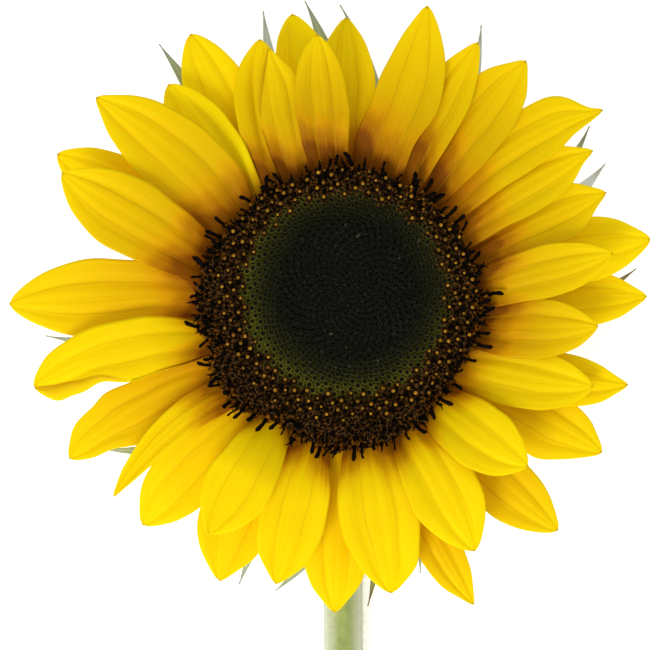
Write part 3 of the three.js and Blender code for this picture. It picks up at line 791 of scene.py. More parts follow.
def bract_material(settings):
    """Grey-green with a paler midrib and margins and darker mottling; dry ones go brown at their tip."""
    material, nodes, shader = new_material("bract_skin", roughness=0.7, specular=0.25, sheen=0.25)
    place, across, along = nodes.blade_place()
    edge = nodes.math("ABSOLUTE", across - 0.5)
    vein = nodes.noise(place, 1.0, detail=3.0, roughness=0.6, stretch=(22.0, 2.0, 1.0))
    mottle = nodes.ramp(vein, [(0.35, 1.0), (0.6, 0.0)])
    colour = nodes.mix(mottle, settings.bract_colour, scaled(settings.bract_colour, 0.68))
    pale = nodes.ramp(edge, [(0.0, 0.7), (0.06, 0.0), (0.40, 0.0), (0.5, 0.85)])
    colour = nodes.mix(pale, colour, srgb(196, 204, 168))
    dry = nodes.attribute("dry")
    bleached = nodes.math("MAXIMUM", dry * -1.0, 0.0)
    colour = nodes.mix(bleached, colour, srgb(214, 218, 208))
    withered = nodes.math("MAXIMUM", dry, 0.0)
    colour = nodes.mix(withered * 0.85, colour, srgb(116, 114, 40))
    burnt = withered * nodes.ramp(along, [(0.89, 0.0), (0.95, 1.0)])
    colour = nodes.mix(burnt, colour, srgb(92, 52, 36))
    tip = nodes.ramp(along, [(0.90, 0.0), (1.0, 0.7)])
    colour = nodes.mix(tip, colour, srgb(122, 104, 84))
    nodes.finish(shader, colour, strength=0.5, distance=0.0003, height=vein)
    return material


def stem_material(settings):
    """Pale fresh green with long darker streaks, and paler sides that are painted sheen; the cut end shows a
    pale pith.
    """
    material, nodes, shader = new_material("stem_skin", roughness=0.55, specular=0.35, sheen=0.2)
    green = settings.stem_colour
    place = nodes.place()
    streak = nodes.noise(place, 1.0, detail=3.0, roughness=0.6, stretch=(900.0, 40.0, 900.0))
    mottle = nodes.noise(place, 160.0, detail=3.0, roughness=0.6)
    light = tuple(min(1.0, c * 1.35 + 0.03) for c in green)
    colour = nodes.mix(nodes.ramp(streak, [(0.35, 1.0), (0.6, 0.0)]), green, scaled(green, 0.84))
    colour = nodes.mix(nodes.ramp(mottle, [(0.5, 0.0), (0.75, 0.6)]), colour, light)
    # Painted sheen: paler towards the stem's sides, less so underneath
    side = nodes.ramp(nodes.attribute("side"), [(0.25, 0.0), (0.80, 0.75)])
    colour = nodes.mix(side, colour, srgb(208, 212, 190))
    colour = nodes.mix(nodes.attribute("pith"), colour, srgb(214, 218, 176))
    nodes.finish(shader, colour, strength=0.5, distance=0.0003, height=streak)
    return material


def cup_material(settings):
    """Green back of the head, with soft darker mottling."""
    material, nodes, shader = new_material("cup_skin", roughness=0.7, specular=0.25, sheen=0.25)
    mottle = nodes.noise(nodes.place(), 260.0, detail=4.0, roughness=0.6)
    dark = nodes.ramp(mottle, [(0.4, 1.0), (0.62, 0.0)])
    colour = nodes.mix(dark, settings.cup_colour, scaled(settings.cup_colour, 0.6))
    nodes.finish(shader, colour, strength=0.5, distance=0.0004, height=mottle)
    return material


def floret_material(name, roughness, strength):
    """Each part of a floret has its own plain colour, broken up by fine noise."""
    material, nodes, shader = new_material(name, roughness, specular=0.04)
    place = nodes.place()
    grain = nodes.noise(place, 900.0, detail=3.0, roughness=0.6)
    patch = nodes.noise(place, 380.0)
    colour = nodes.attribute("tint", "Color")
    for unevenness, dark_end, light_end in ((grain, 0.3, 0.7), (patch, 0.35, 0.65)):
        shade = nodes.ramp(unevenness, [(dark_end, 1.0 - strength), (light_end, 1.0)])
        colour = nodes.mix(1.0, colour, shade, "MULTIPLY")
    nodes.finish(shader, colour, strength=0.4, distance=0.0002, height=grain)
    return material


def bud_material(settings):
    """Buds: near black in the middle, with olive rims that show only towards the edge of the disc, and
    further in on the side towards the key light as painted light.
    """
    material, nodes, shader = new_material("bud_skin", roughness=0.8, specular=0.06)
    place = nodes.place()
    centre = (HEAD_X + DISC_CENTRE[0] * MM, HEAD_Y + DISC_CENTRE[1] * MM, 0.0)
    flat = (place - centre) * (1.0, 1.0, 0.0)
    # Painted light: the rims show further in on the side towards the key light
    towards_light = nodes.vector("DOT_PRODUCT", flat, (-0.55, -0.83, 0.0))
    reach = (nodes.vector("LENGTH", flat) + towards_light * 0.10) / (DISC_RADIUS * MM)
    patch = nodes.noise(place, 120.0, detail=3.0, roughness=0.6)
    speck = nodes.noise(place, 1500.0, roughness=0.7)
    fleck = nodes.noise(place, 520.0, detail=1.0, roughness=0.4)
    uneven = reach + patch * 0.18 - 0.09
    net_seen = nodes.ramp(uneven, [(0.66, 0.0), (0.83, 0.14), (0.93, 0.40), (1.0, 0.85)])
    dark = nodes.mix(nodes.ramp(speck, [(0.55, 0.0), (0.80, 1.0)]), settings.bud_colour, srgb(52, 54, 44))
    dark = nodes.mix(nodes.ramp(fleck, [(0.74, 0.0), (0.79, 0.7)]), dark, srgb(76, 78, 64))
    colour = nodes.mix(net_seen, dark, nodes.attribute("tint", "Color"))
    nodes.finish(shader, colour, strength=0.5, distance=0.0003, height=speck)
    return material


def hair_material(settings):
    """Pale hairs, some of them greener."""
    material, nodes, shader = new_material("plant_hair", roughness=0.6, specular=0.3)
    tone = nodes.noise(nodes.place(), 300.0, detail=1.0)
    nodes.finish(shader, nodes.mix(tone, settings.hair_colour, srgb(190, 198, 150)))
    return material


def floor_material(settings):
    """Pale floor with a faint unevenness, which gives off a little light itself."""
    material, nodes, shader = new_material("pale_floor", roughness=0.9, specular=0.1)
    tone = nodes.noise(nodes.place(), 40.0)
    nodes.finish(shader, nodes.mix(tone, settings.floor_colour, scaled(settings.floor_colour, 0.99)))
    shader.inputs["Emission Color"].default_value = (1, 1, 1, 1)
    shader.inputs["Emission Strength"].default_value = settings.floor_glow
    return material


class PartBuilder:
    """Collects the rings of one small floret or hair, each with its own plain colour, in millimetres."""

    def __init__(self):
        self.points, self.faces, self.colours = [], [], []

    def tube(self, sides, colours, rings):
        """Rings of (x, y, z, radius), closed at both ends, with one colour for all or one for each ring."""
        first = len(self.points)
        if not isinstance(colours, list):
            colours = [colours] * len(rings)
        for (x, y, z, radius), colour in zip(rings, colours):
            for i in range(sides):
                angle = TURN * i / sides
                self.points.append((x + radius * math.cos(angle), y + radius * math.sin(angle), z))
                self.colours.append(colour)
        self.faces += grid_faces(len(rings), sides, closed=True, first=first)
        self.faces.append(tuple(range(first + sides - 1, first - 1, -1)))
        last = first + (len(rings) - 1) * sides
        self.faces.append(tuple(range(last, last + sides)))

    def lobe(self, angle, stations, width, colour, tip_colour):
        """A three-sided little lobe along stations of (radius, height), closed at both ends."""
        first = len(self.points)
        out = (math.cos(angle), math.sin(angle))
        side = (-out[1], out[0])
        shares = (1.0, 1.1, 0.45)
        for station, (radius, height) in enumerate(stations):
            half = width * shares[station] / 2
            for across, drop in ((half, 0.0), (-half, 0.0), (0.0, -width * 0.3)):
                self.points.append((out[0] * radius + side[0] * across,
                                    out[1] * radius + side[1] * across, height + drop))
                self.colours.append(colour if station < 2 else tip_colour)
        for i in range(len(stations) - 1):
            for j in range(3):
                a, b = first + i * 3 + j, first + i * 3 + (j + 1) % 3
                self.faces.append((b, a, a + 3, b + 3))
        last = first + (len(stations) - 1) * 3
        self.faces.append((first, first + 1, first + 2))
        self.faces.append((last + 2, last + 1, last))

    def build(self, name):
        mesh = bpy.data.meshes.new(name)
        mesh.from_pydata([scaled(p, MM) for p in self.points], [], self.faces)
        mesh.update()
        mesh.polygons.foreach_set("use_smooth", [True] * len(mesh.polygons))
        shape = bpy.data.objects.new(name, mesh)
        paint(shape, [rgba(c) for c in self.colours])
        bpy.context.collection.objects.link(shape)
        return shape


def bud_shape(settings):
    """A closed bud: a dark pit with a pointed middle, inside a low pale rim."""
    part = PartBuilder()
    net, dark = settings.net_colour, settings.bud_colour
    part.tube(6, [net, net, net, dark, dark], [
        (0, 0, -0.6, 0.70), (0, 0, 0.34, 0.78), (0, 0, 0.48, 0.56), (0, 0, 0.12, 0.36), (0, 0, 0.32, 0.16)])
    return part.build("bud_shape")


def floret_shape(name, settings, height, radius, tip="", club=1.0, warm=0.0, waist=1.0, bend=0.0):
    """An open floret: five lobes round a dark tube, whose tip may have pollen, curled stigmas or a fork."""
    part = PartBuilder()
    black = settings.tube_colour
    brown = tuple(a + (b - a) * warm for a, b in zip(settings.corolla_colour, settings.rim_colour))
    tan = tuple(min(1, c * 1.8) for c in brown)
    part.tube(5, [black, brown, brown], [(0, 0, -1.2, 0.55), (0, 0, 0.5, 0.62), (0, 0, 0.9, 0.5)])
    for i in range(5):
        part.lobe(TURN * i / 5, [(0.45, 0.8), (0.85, 1.15), (1.25, 0.75)], 0.55, brown, tan)
    part.tube(6, black, [
        (0, 0, 0.7, radius * 0.8), (bend * 0.3, 0, height * 0.6, radius * waist),
        (bend, 0, height, radius * club), (bend * 1.3, 0, height + 0.35, radius * 0.35 * club)])
    if tip == "pollen":
        part.tube(6, settings.pollen_colour, [
            (0, 0, height - 0.1, 0.26), (0, 0, height + 0.30, 0.38), (0, 0, height + 0.62, 0.24)])
    for side in (1, -1):
        if tip == "fork":
            part.tube(4, black, [
                (bend + 0.10 * side, 0, height - 0.2, 0.26), (bend + 0.42 * side, 0, height + 0.55, 0.22),
                (bend + 1.02 * side, 0, height + 0.95, 0.09)])
        if tip == "stigma":
            part.tube(3, settings.stigma_colour, [
                (0.05 * side, 0, height, 0.15), (0.22 * side, 0.12, height + 0.42, 0.15),
                (0.58 * side, 0.30, height + 0.50, 0.13), (0.72 * side, 0.52, height + 0.20, 0.09)])
    return part.build(name)


def hair_shape(length, radius):
    part = PartBuilder()
    part.tube(3, (1.0, 1.0, 1.0), [
        (0, 0, -0.1, radius), (0, 0, length * 0.5, radius * 0.6), (length * 0.12, 0, length, radius * 0.12)])
    return part.build("hair_shape")


def new_tree(name, **kinds):
    """A geometry tree with named inputs, given by kind of socket with their defaults."""
    tree = bpy.data.node_groups.new(name, "GeometryNodeTree")
    tree.interface.new_socket("Geometry", in_out="INPUT", socket_type="NodeSocketGeometry")
    for kind, inputs in kinds.items():
        for key, default in inputs.items():
            socket = tree.interface.new_socket(key, in_out="INPUT", socket_type="NodeSocket" + kind)
            if default is not None:
                socket.default_value = default
    tree.interface.new_socket("Geometry", in_out="OUTPUT", socket_type="NodeSocketGeometry")
    nodes = Nodes(tree)
    given = {socket.name: Value(nodes, socket) for socket in nodes.add("NodeGroupInput").outputs}
    return tree, nodes, given


def ring_distance(nodes, level):
    """Distance from the head's axis, corrected by how far the ring's uneven edge reaches there."""
    x, y, _ = nodes.parts(level)
    turned = nodes.math("ARCTAN2", y, x) * (1 / TURN) + 0.5
    count = len(RING_EDGE)
    stops = [(k / count, (RING_EDGE[(k + count // 2) % count] - RING_EDGE_LEAST) / RING_EDGE_RANGE)
             for k in range(count + 1)]
    edge = nodes.ramp(turned, stops) * (RING_EDGE_RANGE * MM) + RING_EDGE_LEAST * MM
    return nodes.vector("LENGTH", level) + RING_RADIUS * MM - edge


def spiral_tree():
    """Florets on a golden-angle spiral over the domed disc, leaning out towards the rim."""
    tree, nodes, given = new_tree(
        "Floret spiral",
        Int={"Count": 300, "Seed": 0},
        Float={"Start radius": 0.0, "Packing": 0.001, "Growth": 0.5, "Disc from": 0.0, "Disc to": 1.0,
               "Rim from": 0.0, "Rim to": 1.0, "Ragged": 0.0, "Height": 0.0, "Fall": 0.0, "Flat from": 1.0,
               "Lean from": 0.02, "Lean to": 0.03, "Lean": 0.0, "Lean spread": 0.1,
               "Size from": 0.9, "Size to": 1.1},
        Vector={"Centre": (0, 0, 0), "Head axis": (0, 0, 0)},
        Object={"Shape": None}, Material={"Material": None})
    index = nodes.made("GeometryNodeInputIndex")
    packing, growth, seed = given["Packing"], given["Growth"], given["Seed"]
    first = (given["Start radius"] / packing) ** (1.0 / growth)
    radius = packing * (index + first) ** growth
    angle = (index + nodes.math("FLOOR", first)) * GOLDEN_ANGLE
    held = nodes.math("MINIMUM", radius, given["Flat from"])
    spot = nodes.made("ShaderNodeCombineXYZ", {
        0: radius * nodes.math("COSINE", angle), 1: radius * nodes.math("SINE", angle),
        2: given["Height"] - held * held * given["Fall"]})
    nudge = nodes.scaled(nodes.scattered((-0.12, -0.12, -0.1), (0.12, 0.12, 0.25), seed), packing)
    line = nodes.made("GeometryNodeMeshLine", {"Count": given["Count"]})
    moved = nodes.made("GeometryNodeSetPosition", {
        "Geometry": line, "Position": spot + given["Centre"] + nudge})
    position = nodes.made("GeometryNodeInputPosition")
    level = (position - given["Head axis"]) * (1, 1, 0)
    rim_distance = ring_distance(nodes, level)
    ragged = (nodes.noise(level, 130.0) - 0.5) * given["Ragged"] + rim_distance
    disc_distance = nodes.vector("LENGTH", (position - given["Centre"]) * (1, 1, 0))
    outside = nodes.math("LESS_THAN", disc_distance, given["Disc from"])
    for beyond in (nodes.math("GREATER_THAN", disc_distance, given["Disc to"]),
                   nodes.math("LESS_THAN", rim_distance, given["Rim from"]),
                   nodes.math("GREATER_THAN", ragged, given["Rim to"])):
        outside = nodes.math("MAXIMUM", outside, beyond)
    kept = nodes.made("GeometryNodeDeleteGeometry", {"Geometry": moved, "Selection": outside},
                      domain="POINT")
    lean = nodes.made("ShaderNodeMapRange", {
        "Value": rim_distance, "From Min": given["Lean from"], "From Max": given["Lean to"],
        "To Min": 0.0, "To Max": given["Lean"]}, interpolation_type="SMOOTHSTEP")
    sideways = nodes.scaled(nodes.vector("NORMALIZE", level), nodes.math("SINE", lean))
    upright = nodes.made("ShaderNodeCombineXYZ", {2: nodes.math("COSINE", lean)})
    spread = nodes.scaled(nodes.scattered((-1, -1, -0.3), (1, 1, 0.3), seed + 11), given["Lean spread"])
    aligned = nodes.made("FunctionNodeAlignRotationToVector", {"Vector": sideways + upright + spread},
                         axis="Z")
    turn = nodes.scattered(0.0, 6.283, seed + 23)
    spun = nodes.made("FunctionNodeAxisAngleToRotation", {"Axis": (0, 0, 1), "Angle": turn})
    turned = nodes.made("FunctionNodeRotateRotation", {0: aligned, 1: spun}, rotation_space="LOCAL")
    size = nodes.scattered(given["Size from"], given["Size to"], seed + 37)
    share = nodes.math("MAXIMUM", disc_distance, 0.0006) / given["Flat from"]
    nodes.copies(kept, given, turned, size * share ** (1.0 - 0.5 / growth))
    return tree


def hair_tree():
    """Hairs standing on chosen faces of a surface, leaning a little along it."""
    tree, nodes, given = new_tree(
        "Plant hairs",
        Float={"Density": 100000.0, "Lowest": 0.0, "Nearest the cut": -10.0, "Lean": 0.4,
               "Size from": 0.6, "Size to": 1.2},
        Bool={"Only the rim": False}, Int={"Seed": 0},
        Object={"Shape": None}, Material={"Material": None})
    _, y, z = nodes.parts(nodes.made("GeometryNodeInputPosition"))
    rim = nodes.add("GeometryNodeInputNamedAttribute", {"Name": "rim"}, data_type="BOOLEAN")
    on_rim = Value(nodes, next(s for s in rim.outputs if s.name == "Attribute" and s.enabled))
    allowed = nodes.math("MAXIMUM", on_rim, 1.0 - given["Only the rim"])
    allowed = allowed * nodes.math("GREATER_THAN", z, given["Lowest"])
    allowed = allowed * nodes.math("GREATER_THAN", y, given["Nearest the cut"])
    spread = nodes.add("GeometryNodeDistributePointsOnFaces", {
        "Mesh": given["Geometry"], "Selection": allowed, "Density": given["Density"],
        "Seed": given["Seed"]})
    points, normal = Value(nodes, spread.outputs["Points"]), Value(nodes, spread.outputs["Normal"])
    jitter = nodes.scattered((-1, -1, -1), (1, 1, 1), given["Seed"] + 3)
    turned = nodes.made("FunctionNodeAlignRotationToVector", {
        "Vector": normal + nodes.scaled(jitter, given["Lean"])}, axis="Z")
    size = nodes.scattered(given["Size from"], given["Size to"], given["Seed"] + 5)
    nodes.copies(points, given, turned, size)
    return tree


def grown(name, carrier, tree, values):
    """Runs a node tree over a carrier mesh and keeps the result as a plain mesh object."""
    maker = bpy.data.objects.new(name + "_maker", carrier)
    bpy.context.collection.objects.link(maker)
    modifier = maker.modifiers.new(name, "NODES")
    modifier.node_group = tree
    sockets = {item.name: item.identifier for item in tree.interface.items_tree
               if item.in_out == "INPUT"}
    for key, value in values.items():
        modifier[sockets[key]] = value
    maker.update_tag()
    bpy.context.view_layer.update()
    graph = bpy.context.evaluated_depsgraph_get()
    mesh = bpy.data.meshes.new_from_object(maker.evaluated_get(graph), depsgraph=graph)
    mesh.name = name
    bpy.data.objects.remove(maker)
    piece = bpy.data.objects.new(name, mesh)
    bpy.context.collection.objects.link(piece)
    return piece


def finish_piece(piece, material, slot, *nodes):
    """Gives a piece its material and its body, and hides the solids it stands for; its record slot is not
    used.
    """
    piece.data.materials.clear()
    piece.data.materials.append(material)
    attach(piece, "root")
    if nodes:
        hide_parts(*nodes)


def frame_slot(node):
    """The record's material slot of a node."""
    for entry in frame["record"]["subparts"]:
        if entry["node"] == node:
            return entry["material_slot"]
    raise ValueError(node)


class SUNFLOWER_OT_petals(bpy.types.Operator):
    """Grow the ring of petals"""

    bl_idname = "sunflower.petals"
    bl_label = "Petals"

    def execute(self, context):
        settings = context.scene.sunflower_petals
        skin = petal_material(settings)
        for number, petal in enumerate(PETALS, start=1):
            node = f"petal_{number:02d}"
            rng = np.random.default_rng(PETAL_SEED + number)
            turned = TURNED_MARGINS.get(number)
            piece = blade_object(node + "_dressed", *petal_grid(
                petal, turned, SWELLINGS.get(number, []), rng, settings))
            tip_azimuth, level = petal[1], petal[4]
            # Painted shade: petals on the side of the bloom away from the key light get a deeper yellow
            depth = 0.5 + 0.42 * math.cos(math.radians(tip_azimuth - SHADED_SIDE))
            depth += 0.08 * rng.uniform(-1, 1) + DEEPER_SHADE.get(number, 0.0)
            mark(piece, "tone", number * 0.37)
            mark(piece, "depth", min(max(depth, -0.5), 1.3))
            mark(piece, "back", turned_back(turned))
            # The base's painted shade follows how far a petal lies under others, shifted for some petals
            mark(piece, "cover", max(0.0, 1 - level / 1.3) + BASE_SHADE_FURTHER.get(number, 0.0))
            mark(piece, "short", BASE_SHADE_SHORTER.get(number, 0.0))
            mark(piece, "lee", SHADED_MARGINS.get(number, 0.0))
            finish_piece(piece, skin, frame_slot(node), node)
        return {"FINISHED"}


class SUNFLOWER_OT_bracts(bpy.types.Operator):
    """Grow the green bracts behind the petals, with hairs along their margins"""

    bl_idname = "sunflower.bracts"
    bl_label = "Bracts"

    def execute(self, context):
        settings = context.scene.sunflower_greens
        skin = bract_material(settings)
        hair = hair_material(settings)
        tree = hair_tree()
        shape = hair_shape(settings.bract_hair_length / MM, radius=0.045)
        for number, bract in enumerate(BRACTS, start=1):
            node = f"bract_{number:02d}"
            rng = np.random.default_rng(BRACT_SEED + number)
            piece = blade_object(node + "_dressed", *bract_grid(bract, rng))
            mark(piece, "dry", DRY.get(number, 0.0))
            fringe = grown(node + "_hairs", piece.data, tree, {
                "Density": 2500000.0, "Only the rim": True, "Lowest": 0.0012, "Lean": 0.5,
                "Shape": shape, "Material": hair, "Seed": number})
            finish_piece(piece, skin, "bract_green", node)
            finish_piece(fringe, hair, "bract_green")
        bpy.data.objects.remove(shape)
        return {"FINISHED"}


class SUNFLOWER_OT_stem(bpy.types.Operator):
    """Make the ribbed stem with its cut end, its bend into the head and its hairs"""

    bl_idname = "sunflower.stem"
    bl_label = "Stem"

    def execute(self, context):
        settings = context.scene.sunflower_greens
        straight = np.linspace(-STEM_REACH, -STEM_BEND_RADIUS, STEM_ROWS)
        stations = [(y, STEM_RADIUS, 0.0, STEM_RADIUS) for y in straight]
        for share in np.linspace(0, 1, STEM_BEND_ROWS + 1)[1:]:
            tilt = share * math.pi / 2
            height = STEM_RADIUS + (CUP_BACK_HEIGHT - STEM_END_BELOW_CUP - STEM_RADIUS) * (1 - math.cos(tilt))
            stations.append((STEM_BEND_RADIUS * (math.sin(tilt) - 1), height, tilt,
                             STEM_RADIUS + (STEM_NECK_RADIUS - STEM_RADIUS) * share))
        angle = np.linspace(0, TURN, STEM_SIDES, endpoint=False)
        points = []
        for step, (y, z, tilt, radius) in enumerate(stations):
            ribs = STEM_RIB_HEIGHT * np.cos(STEM_RIBS * angle + 0.02 * step)
            ribs += 0.05 * np.cos(5 * angle + 0.3 * math.sin(0.2 * step))
            wide = radius - 0.12 + ribs - 0.05 * (1 + np.sin(0.35 * step + angle))
            offset = STEM_OFFSET * float(smoothstep(-y / STEM_STRAIGHT_START))
            x = offset - wide * np.sin(angle)
            out = -wide * np.cos(angle)
            height = np.maximum(z + out * math.cos(tilt), 0.0)
            points.append(np.stack([x, y - out * math.sin(tilt), height], axis=1))
        middle = points[0].mean(0)
        cut = [middle + (points[0] - middle) * share + np.array([0, dent, 0]) for share, dent, _ in STEM_CUT]
        piece = closed_stack("stem_dressed", np.array(cut + points))
        paleness = [pale for _, _, pale in STEM_CUT] + [0.0] * len(points)
        mark(piece, "pith", np.append(np.repeat(paleness, STEM_SIDES), (1.0, 0.0)))
        # Painted sheen: how far each point lies towards the stem's sides, less so underneath
        upper = 1 - 0.8 * smoothstep((np.cos(angle) + 0.2) / 0.6)
        side = np.tile(np.abs(np.sin(angle)) * upper, len(cut) + len(points))
        mark(piece, "side", np.append(side, (0.0, 0.0)))
        piece.data.attributes.new("rim", "BOOLEAN", "FACE")
        shape = hair_shape(settings.hair_length / MM, radius=0.05)
        hair = hair_material(settings)
        fringe = grown("stem_hairs", piece.data, hair_tree(), {
            "Density": 420000.0, "Lowest": 0.0016, "Nearest the cut": STEM_LOW.y + 0.004, "Lean": 0.45,
            "Shape": shape, "Material": hair, "Seed": 3})
        bpy.data.objects.remove(shape)
        finish_piece(piece, stem_material(settings), "stem_green", "stem")
        finish_piece(fringe, hair, "stem_green")
        return {"FINISHED"}


class SUNFLOWER_OT_cup(bpy.types.Operator):
    """Make the green cup behind the head, ribbed and hairy"""

    bl_idname = "sunflower.cup"
    bl_label = "Cup"

    def execute(self, context):
        settings = context.scene.sunflower_greens
        back = np.linspace(CUP_BACK_RADIUS, CUP_RIM_RADIUS, CUP_ROWS)
        profile = [(radius, float(cup_back(radius))) for radius in back]
        profile += [(CUP_RIM_RADIUS, CUP_RIM_HEIGHT + 1.2), (CUP_RIM_RADIUS - 0.3, CUP_SHOULDER_HEIGHT - 0.2),
                    (CUP_RIM_RADIUS - 0.8, CUP_SHOULDER_HEIGHT), (CUP_BOSS_RADIUS, CUP_SHOULDER_HEIGHT),
                    (CUP_BOSS_RADIUS, CUP_BOSS_HEIGHT)]
        points = lathe_points(profile, CUP_SIDES)
        angle = np.linspace(0, TURN, CUP_SIDES, endpoint=False)[None, :]
        share = np.linspace(0, 1, CUP_ROWS)[:, None]
        ribs = 0.16 * np.cos(18 * angle) + 0.08 * np.cos(31 * angle + 4 * share)
        points[:CUP_ROWS, :, 2] += (ribs - 0.05) * np.sin(np.pi * share)
        piece = closed_stack("cup_dressed", points)
        piece.data.attributes.new("rim", "BOOLEAN", "FACE")
        shape = hair_shape(CUP_HAIR_LENGTH, radius=0.04)
        hair = hair_material(settings)
        fringe = grown("cup_hairs", piece.data, hair_tree(), {
            "Density": 300000.0, "Lean": 0.5, "Shape": shape, "Material": hair, "Seed": 9})
        bpy.data.objects.remove(shape)
        finish_piece(piece, cup_material(settings), "cup_green", "receptacle")
        finish_piece(fringe, hair, "cup_green")
        return {"FINISHED"}


def spiral(name, tree, settings, values):
    """Florets on the spiral over the disc, as one piece."""
    common = {
        "Centre": (HEAD_X + DISC_CENTRE[0] * MM, HEAD_Y + DISC_CENTRE[1] * MM, 0.0),
        "Head axis": (HEAD_X, HEAD_Y, 0.0),
        "Height": DISC_TOP * MM, "Fall": DISC_FALL / MM, "Flat from": DISC_RADIUS * MM,
        "Seed": settings.seed}
    carrier = bpy.data.meshes.new(name + "_spiral")
    carrier.from_pydata([(0, 0, 0)], [], [])
    return grown(name, carrier, tree, {**common, **values})


class SUNFLOWER_OT_disc(bpy.types.Operator):
    """Make the disc and set its closed buds on a spiral"""

    bl_idname = "sunflower.disc"
    bl_label = "Disc"

    def execute(self, context):
        settings = context.scene.sunflower_head
        shares = (1.0, 0.97, 0.9, 0.8, 0.65, 0.5, 0.3, 0.1)
        profile = [(DISC_RADIUS, DISC_BOTTOM)]
        profile += [(radius, DISC_TOP - DISC_BED_DROP - DISC_FALL * radius ** 2)
                    for radius in (DISC_RADIUS * share for share in shares)]
        bed = closed_stack("disc_bed", lathe_points(profile, DISC_SIDES, DISC_CENTRE))
        paint(bed, rgba(settings.net_colour))
        skin = bud_material(settings)
        shape = bud_shape(settings)
        reach = (DISC_RADIUS + BUD_OVERLAP) * MM
        count = int(TURN * BUD_GROWTH * reach ** 2 / (BUD_CELL * settings.bud_spacing ** 2))
        buds = spiral("disc_buds", spiral_tree(), settings, {
            "Count": count, "Packing": reach / count ** BUD_GROWTH, "Growth": BUD_GROWTH, "Disc to": reach,
            "Lean spread": 0.12, "Size from": 1.12, "Size to": 1.32, "Shape": shape, "Material": skin})
        bpy.data.objects.remove(shape)
        finish_piece(bed, skin, "disc_buds", "disc")
        finish_piece(buds, skin, "disc_buds")
        return {"FINISHED"}


class SUNFLOWER_OT_florets(bpy.types.Operator):
    """Make the ring of open florets round the disc"""

    bl_idname = "sunflower.florets"
    bl_label = "Open florets"

    def execute(self, context):
        settings = context.scene.sunflower_head
        angle = np.linspace(0, TURN, RING_SIDES, endpoint=False)
        outward = np.stack([np.cos(angle), np.sin(angle)], axis=1)
        inner = np.array(DISC_CENTRE) + outward * (DISC_RADIUS + RING_GAP)
        top = DISC_TOP - DISC_FALL * DISC_RADIUS ** 2 - RING_BED_DROP
        edge = np.interp(angle / TURN * len(RING_EDGE), range(len(RING_EDGE) + 1), RING_EDGE + RING_EDGE[:1])
        low, middle, high = (outward * np.maximum(edge - inset, least)[:, None]
                             for inset, least in RING_INSETS)
        section = [(inner, DISC_BOTTOM), (outward * RING_HEEL_RADIUS, DISC_BOTTOM), (low, RING_OUTER_BOTTOM),
                   (middle, top - RING_BED_DROP), (high, top), (inner, top)]
        rows = [np.column_stack([place, np.full(RING_SIDES, height)]) for place, height in section]
        faces = grid_faces(len(rows) + 1, RING_SIDES, closed=True)
        faces = [tuple(corner % (len(rows) * RING_SIDES) for corner in face) for face in faces]
        bed = mesh_object("floret_bed", np.concatenate(rows), faces)
        # The bed shows in the gaps between the florets: their brown, darkened as painted shade
        paint(bed, rgba(scaled(settings.corolla_colour, 0.45)))
        skin = floret_material("floret_skin", roughness=0.7, strength=0.58)
        finish_piece(bed, skin, "open_florets", "floret_ring")
        tree = spiral_tree()
        young = floret_shape("young_floret", settings, 1.9, 0.50, tip="pollen")
        older = floret_shape("older_floret", settings, 2.1, 0.46, tip="stigma")
        outer = floret_shape("outer_floret", settings, 3.2, 0.42, warm=0.9, waist=0.74, bend=0.75)
        forked = floret_shape("forked_floret", settings, 2.3, 0.42, tip="fork", warm=0.9, waist=0.8, bend=0.4)
        spent = floret_shape("spent_floret", settings, 1.5, 0.42, club=0.8)
        wide, tight = settings.floret_spacing, settings.filler_spacing
        kinds = ("Shape", "Packing", "Disc from", "Disc to", "Rim from", "Rim to", "Lean", "Lean spread",
                 "Size from", "Size to")
        rings = {
            "spent_florets": (spent, tight, 0.0248, 0.06, 0.0, 0.0316, 0.9, 0.40, 0.95, 1.5),
            "pollen_florets": (young, wide, 0.0, 0.0297, 0.0, 0.0321, 0.6, 0.14, 0.9, 1.35),
            "stigma_florets": (older, wide, 0.0297, 0.06, 0.0, 0.0316, 0.9, 0.25, 0.9, 1.25),
            "rim_florets": (outer, wide, 0.0, 0.06, 0.0302, 0.0331, 1.3, 0.34, 0.6, 1.5),
            "forked_florets": (forked, wide * 0.96, 0.0, 0.06, 0.0296, 0.0326, 1.2, 0.40, 0.7, 1.15),
        }
        for name, values in rings.items():
            ring = spiral(name, tree, settings, {
                "Start radius": (DISC_RADIUS - 1.0) * MM, "Count": 1150, "Height": top * MM, "Fall": 0.0,
                "Lean from": 0.024, "Lean to": 0.0355, "Ragged": 0.006, "Material": skin,
                **dict(zip(kinds, values))})
            finish_piece(ring, skin, "open_florets")
        for shape in (spent, young, older, outer, forked):
            bpy.data.objects.remove(shape)
        return {"FINISHED"}


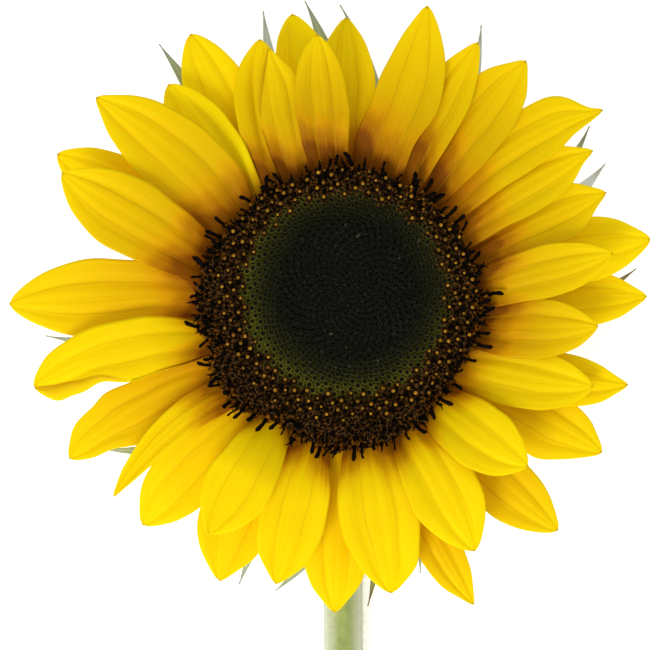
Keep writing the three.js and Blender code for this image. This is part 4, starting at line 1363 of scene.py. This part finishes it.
class SUNFLOWER_OT_stage(bpy.types.Operator):
    """Set the pale floor, the soft lights and the camera over the bloom"""

    bl_idname = "sunflower.stage"
    bl_label = "Stage"

    def execute(self, context):
        settings = context.scene.sunflower_stage
        floor = bpy.data.meshes.new("floor")
        corners = [(x * FLOOR_REACH, y * FLOOR_REACH, 0) for x, y in ((-1, -1), (1, -1), (1, 1), (-1, 1))]
        floor.from_pydata(corners, [], [(0, 1, 2, 3)])
        ground = bpy.data.objects.new("floor", floor)
        floor.materials.append(floor_material(settings))
        context.collection.objects.link(ground)
        world = bpy.data.worlds.new("soft_sky")
        world.use_nodes = True
        sky = world.node_tree.nodes["Background"]
        sky.inputs[0].default_value = (1, 1, 1, 1)
        sky.inputs[1].default_value = settings.sky
        context.scene.world = world
        head = Vector((HEAD_X, HEAD_Y, LIT_HEIGHT))
        for name, (place, size, share) in LIGHTS.items():
            lamp = bpy.data.lights.new(name, "AREA")
            lamp.energy = settings.key_power * share
            lamp.size = size
            light = bpy.data.objects.new(name, lamp)
            light.location = head + Vector(place)
            light.rotation_euler = (-Vector(place)).to_track_quat("-Z", "Y").to_euler()
            context.collection.objects.link(light)
        lens = bpy.data.cameras.new("camera")
        camera = bpy.data.objects.new("camera", lens)
        context.collection.objects.link(camera)
        elevation = settings.camera_elevation
        back = Vector((0, -math.cos(elevation), math.sin(elevation)))
        up = Vector((0, math.sin(elevation), math.cos(elevation)))
        right = Vector((1, 0, 0))
        target = Vector((HEAD_X, HEAD_Y, PETALS_HEIGHT))
        target -= right * HEAD_RIGHT_OF_MIDDLE * PIXEL + up * HEAD_ABOVE_MIDDLE * PIXEL
        camera.location = target + back * settings.camera_distance
        camera.rotation_euler = (-back).to_track_quat("-Z", "Y").to_euler()
        lens.sensor_width = SENSOR_WIDTH
        lens.lens = SENSOR_WIDTH * settings.camera_distance / (PICTURE_WIDTH * PIXEL)
        lens.clip_start = 0.01
        context.scene.camera = camera
        context.scene.view_settings.view_transform = "Standard"
        context.scene.view_settings.look = "None"
        return {"FINISHED"}


class SUNFLOWER_PT_panel(bpy.types.Panel):
    bl_label = "Sunflower"
    bl_idname = "SUNFLOWER_PT_panel"
    bl_space_type = "VIEW_3D"
    bl_region_type = "UI"
    bl_category = "Sunflower"

    def draw(self, context):
        scene = context.scene
        for title, group, operators in PANEL_ROWS:
            box = self.layout.box()
            box.label(text=title)
            settings = getattr(scene, group)
            for key in type(settings).__annotations__:
                box.prop(settings, key)
            for operator in operators:
                box.operator(operator.bl_idname)


PANEL_ROWS = [
    ("Petals", "sunflower_petals", [SUNFLOWER_OT_petals]),
    ("Head", "sunflower_head", [SUNFLOWER_OT_disc, SUNFLOWER_OT_florets]),
    ("Greens", "sunflower_greens", [SUNFLOWER_OT_bracts, SUNFLOWER_OT_stem, SUNFLOWER_OT_cup]),
    ("Stage", "sunflower_stage", [SUNFLOWER_OT_stage]),
]
SETTINGS = {
    "sunflower_petals": PetalSettings,
    "sunflower_head": HeadSettings,
    "sunflower_greens": GreenSettings,
    "sunflower_stage": StageSettings,
}
OPERATORS = [SUNFLOWER_OT_petals, SUNFLOWER_OT_bracts, SUNFLOWER_OT_stem, SUNFLOWER_OT_cup,
             SUNFLOWER_OT_disc, SUNFLOWER_OT_florets, SUNFLOWER_OT_stage]


def register():
    for group in SETTINGS.values():
        bpy.utils.register_class(group)
    for operator in OPERATORS:
        bpy.utils.register_class(operator)
    bpy.utils.register_class(SUNFLOWER_PT_panel)
    for name, group in SETTINGS.items():
        setattr(bpy.types.Scene, name, PointerProperty(type=group))


def unregister():
    for name in SETTINGS:
        delattr(bpy.types.Scene, name)
    bpy.utils.unregister_class(SUNFLOWER_PT_panel)
    for operator in reversed(OPERATORS):
        bpy.utils.unregister_class(operator)
    for group in reversed(SETTINGS.values()):
        bpy.utils.unregister_class(group)


def main():
    register()
    bpy.ops.sunflower.stage()
    bpy.ops.sunflower.stem()
    bpy.ops.sunflower.cup()
    bpy.ops.sunflower.bracts()
    bpy.ops.sunflower.petals()
    bpy.ops.sunflower.disc()
    bpy.ops.sunflower.florets()


if __name__ == "__main__":
    main()
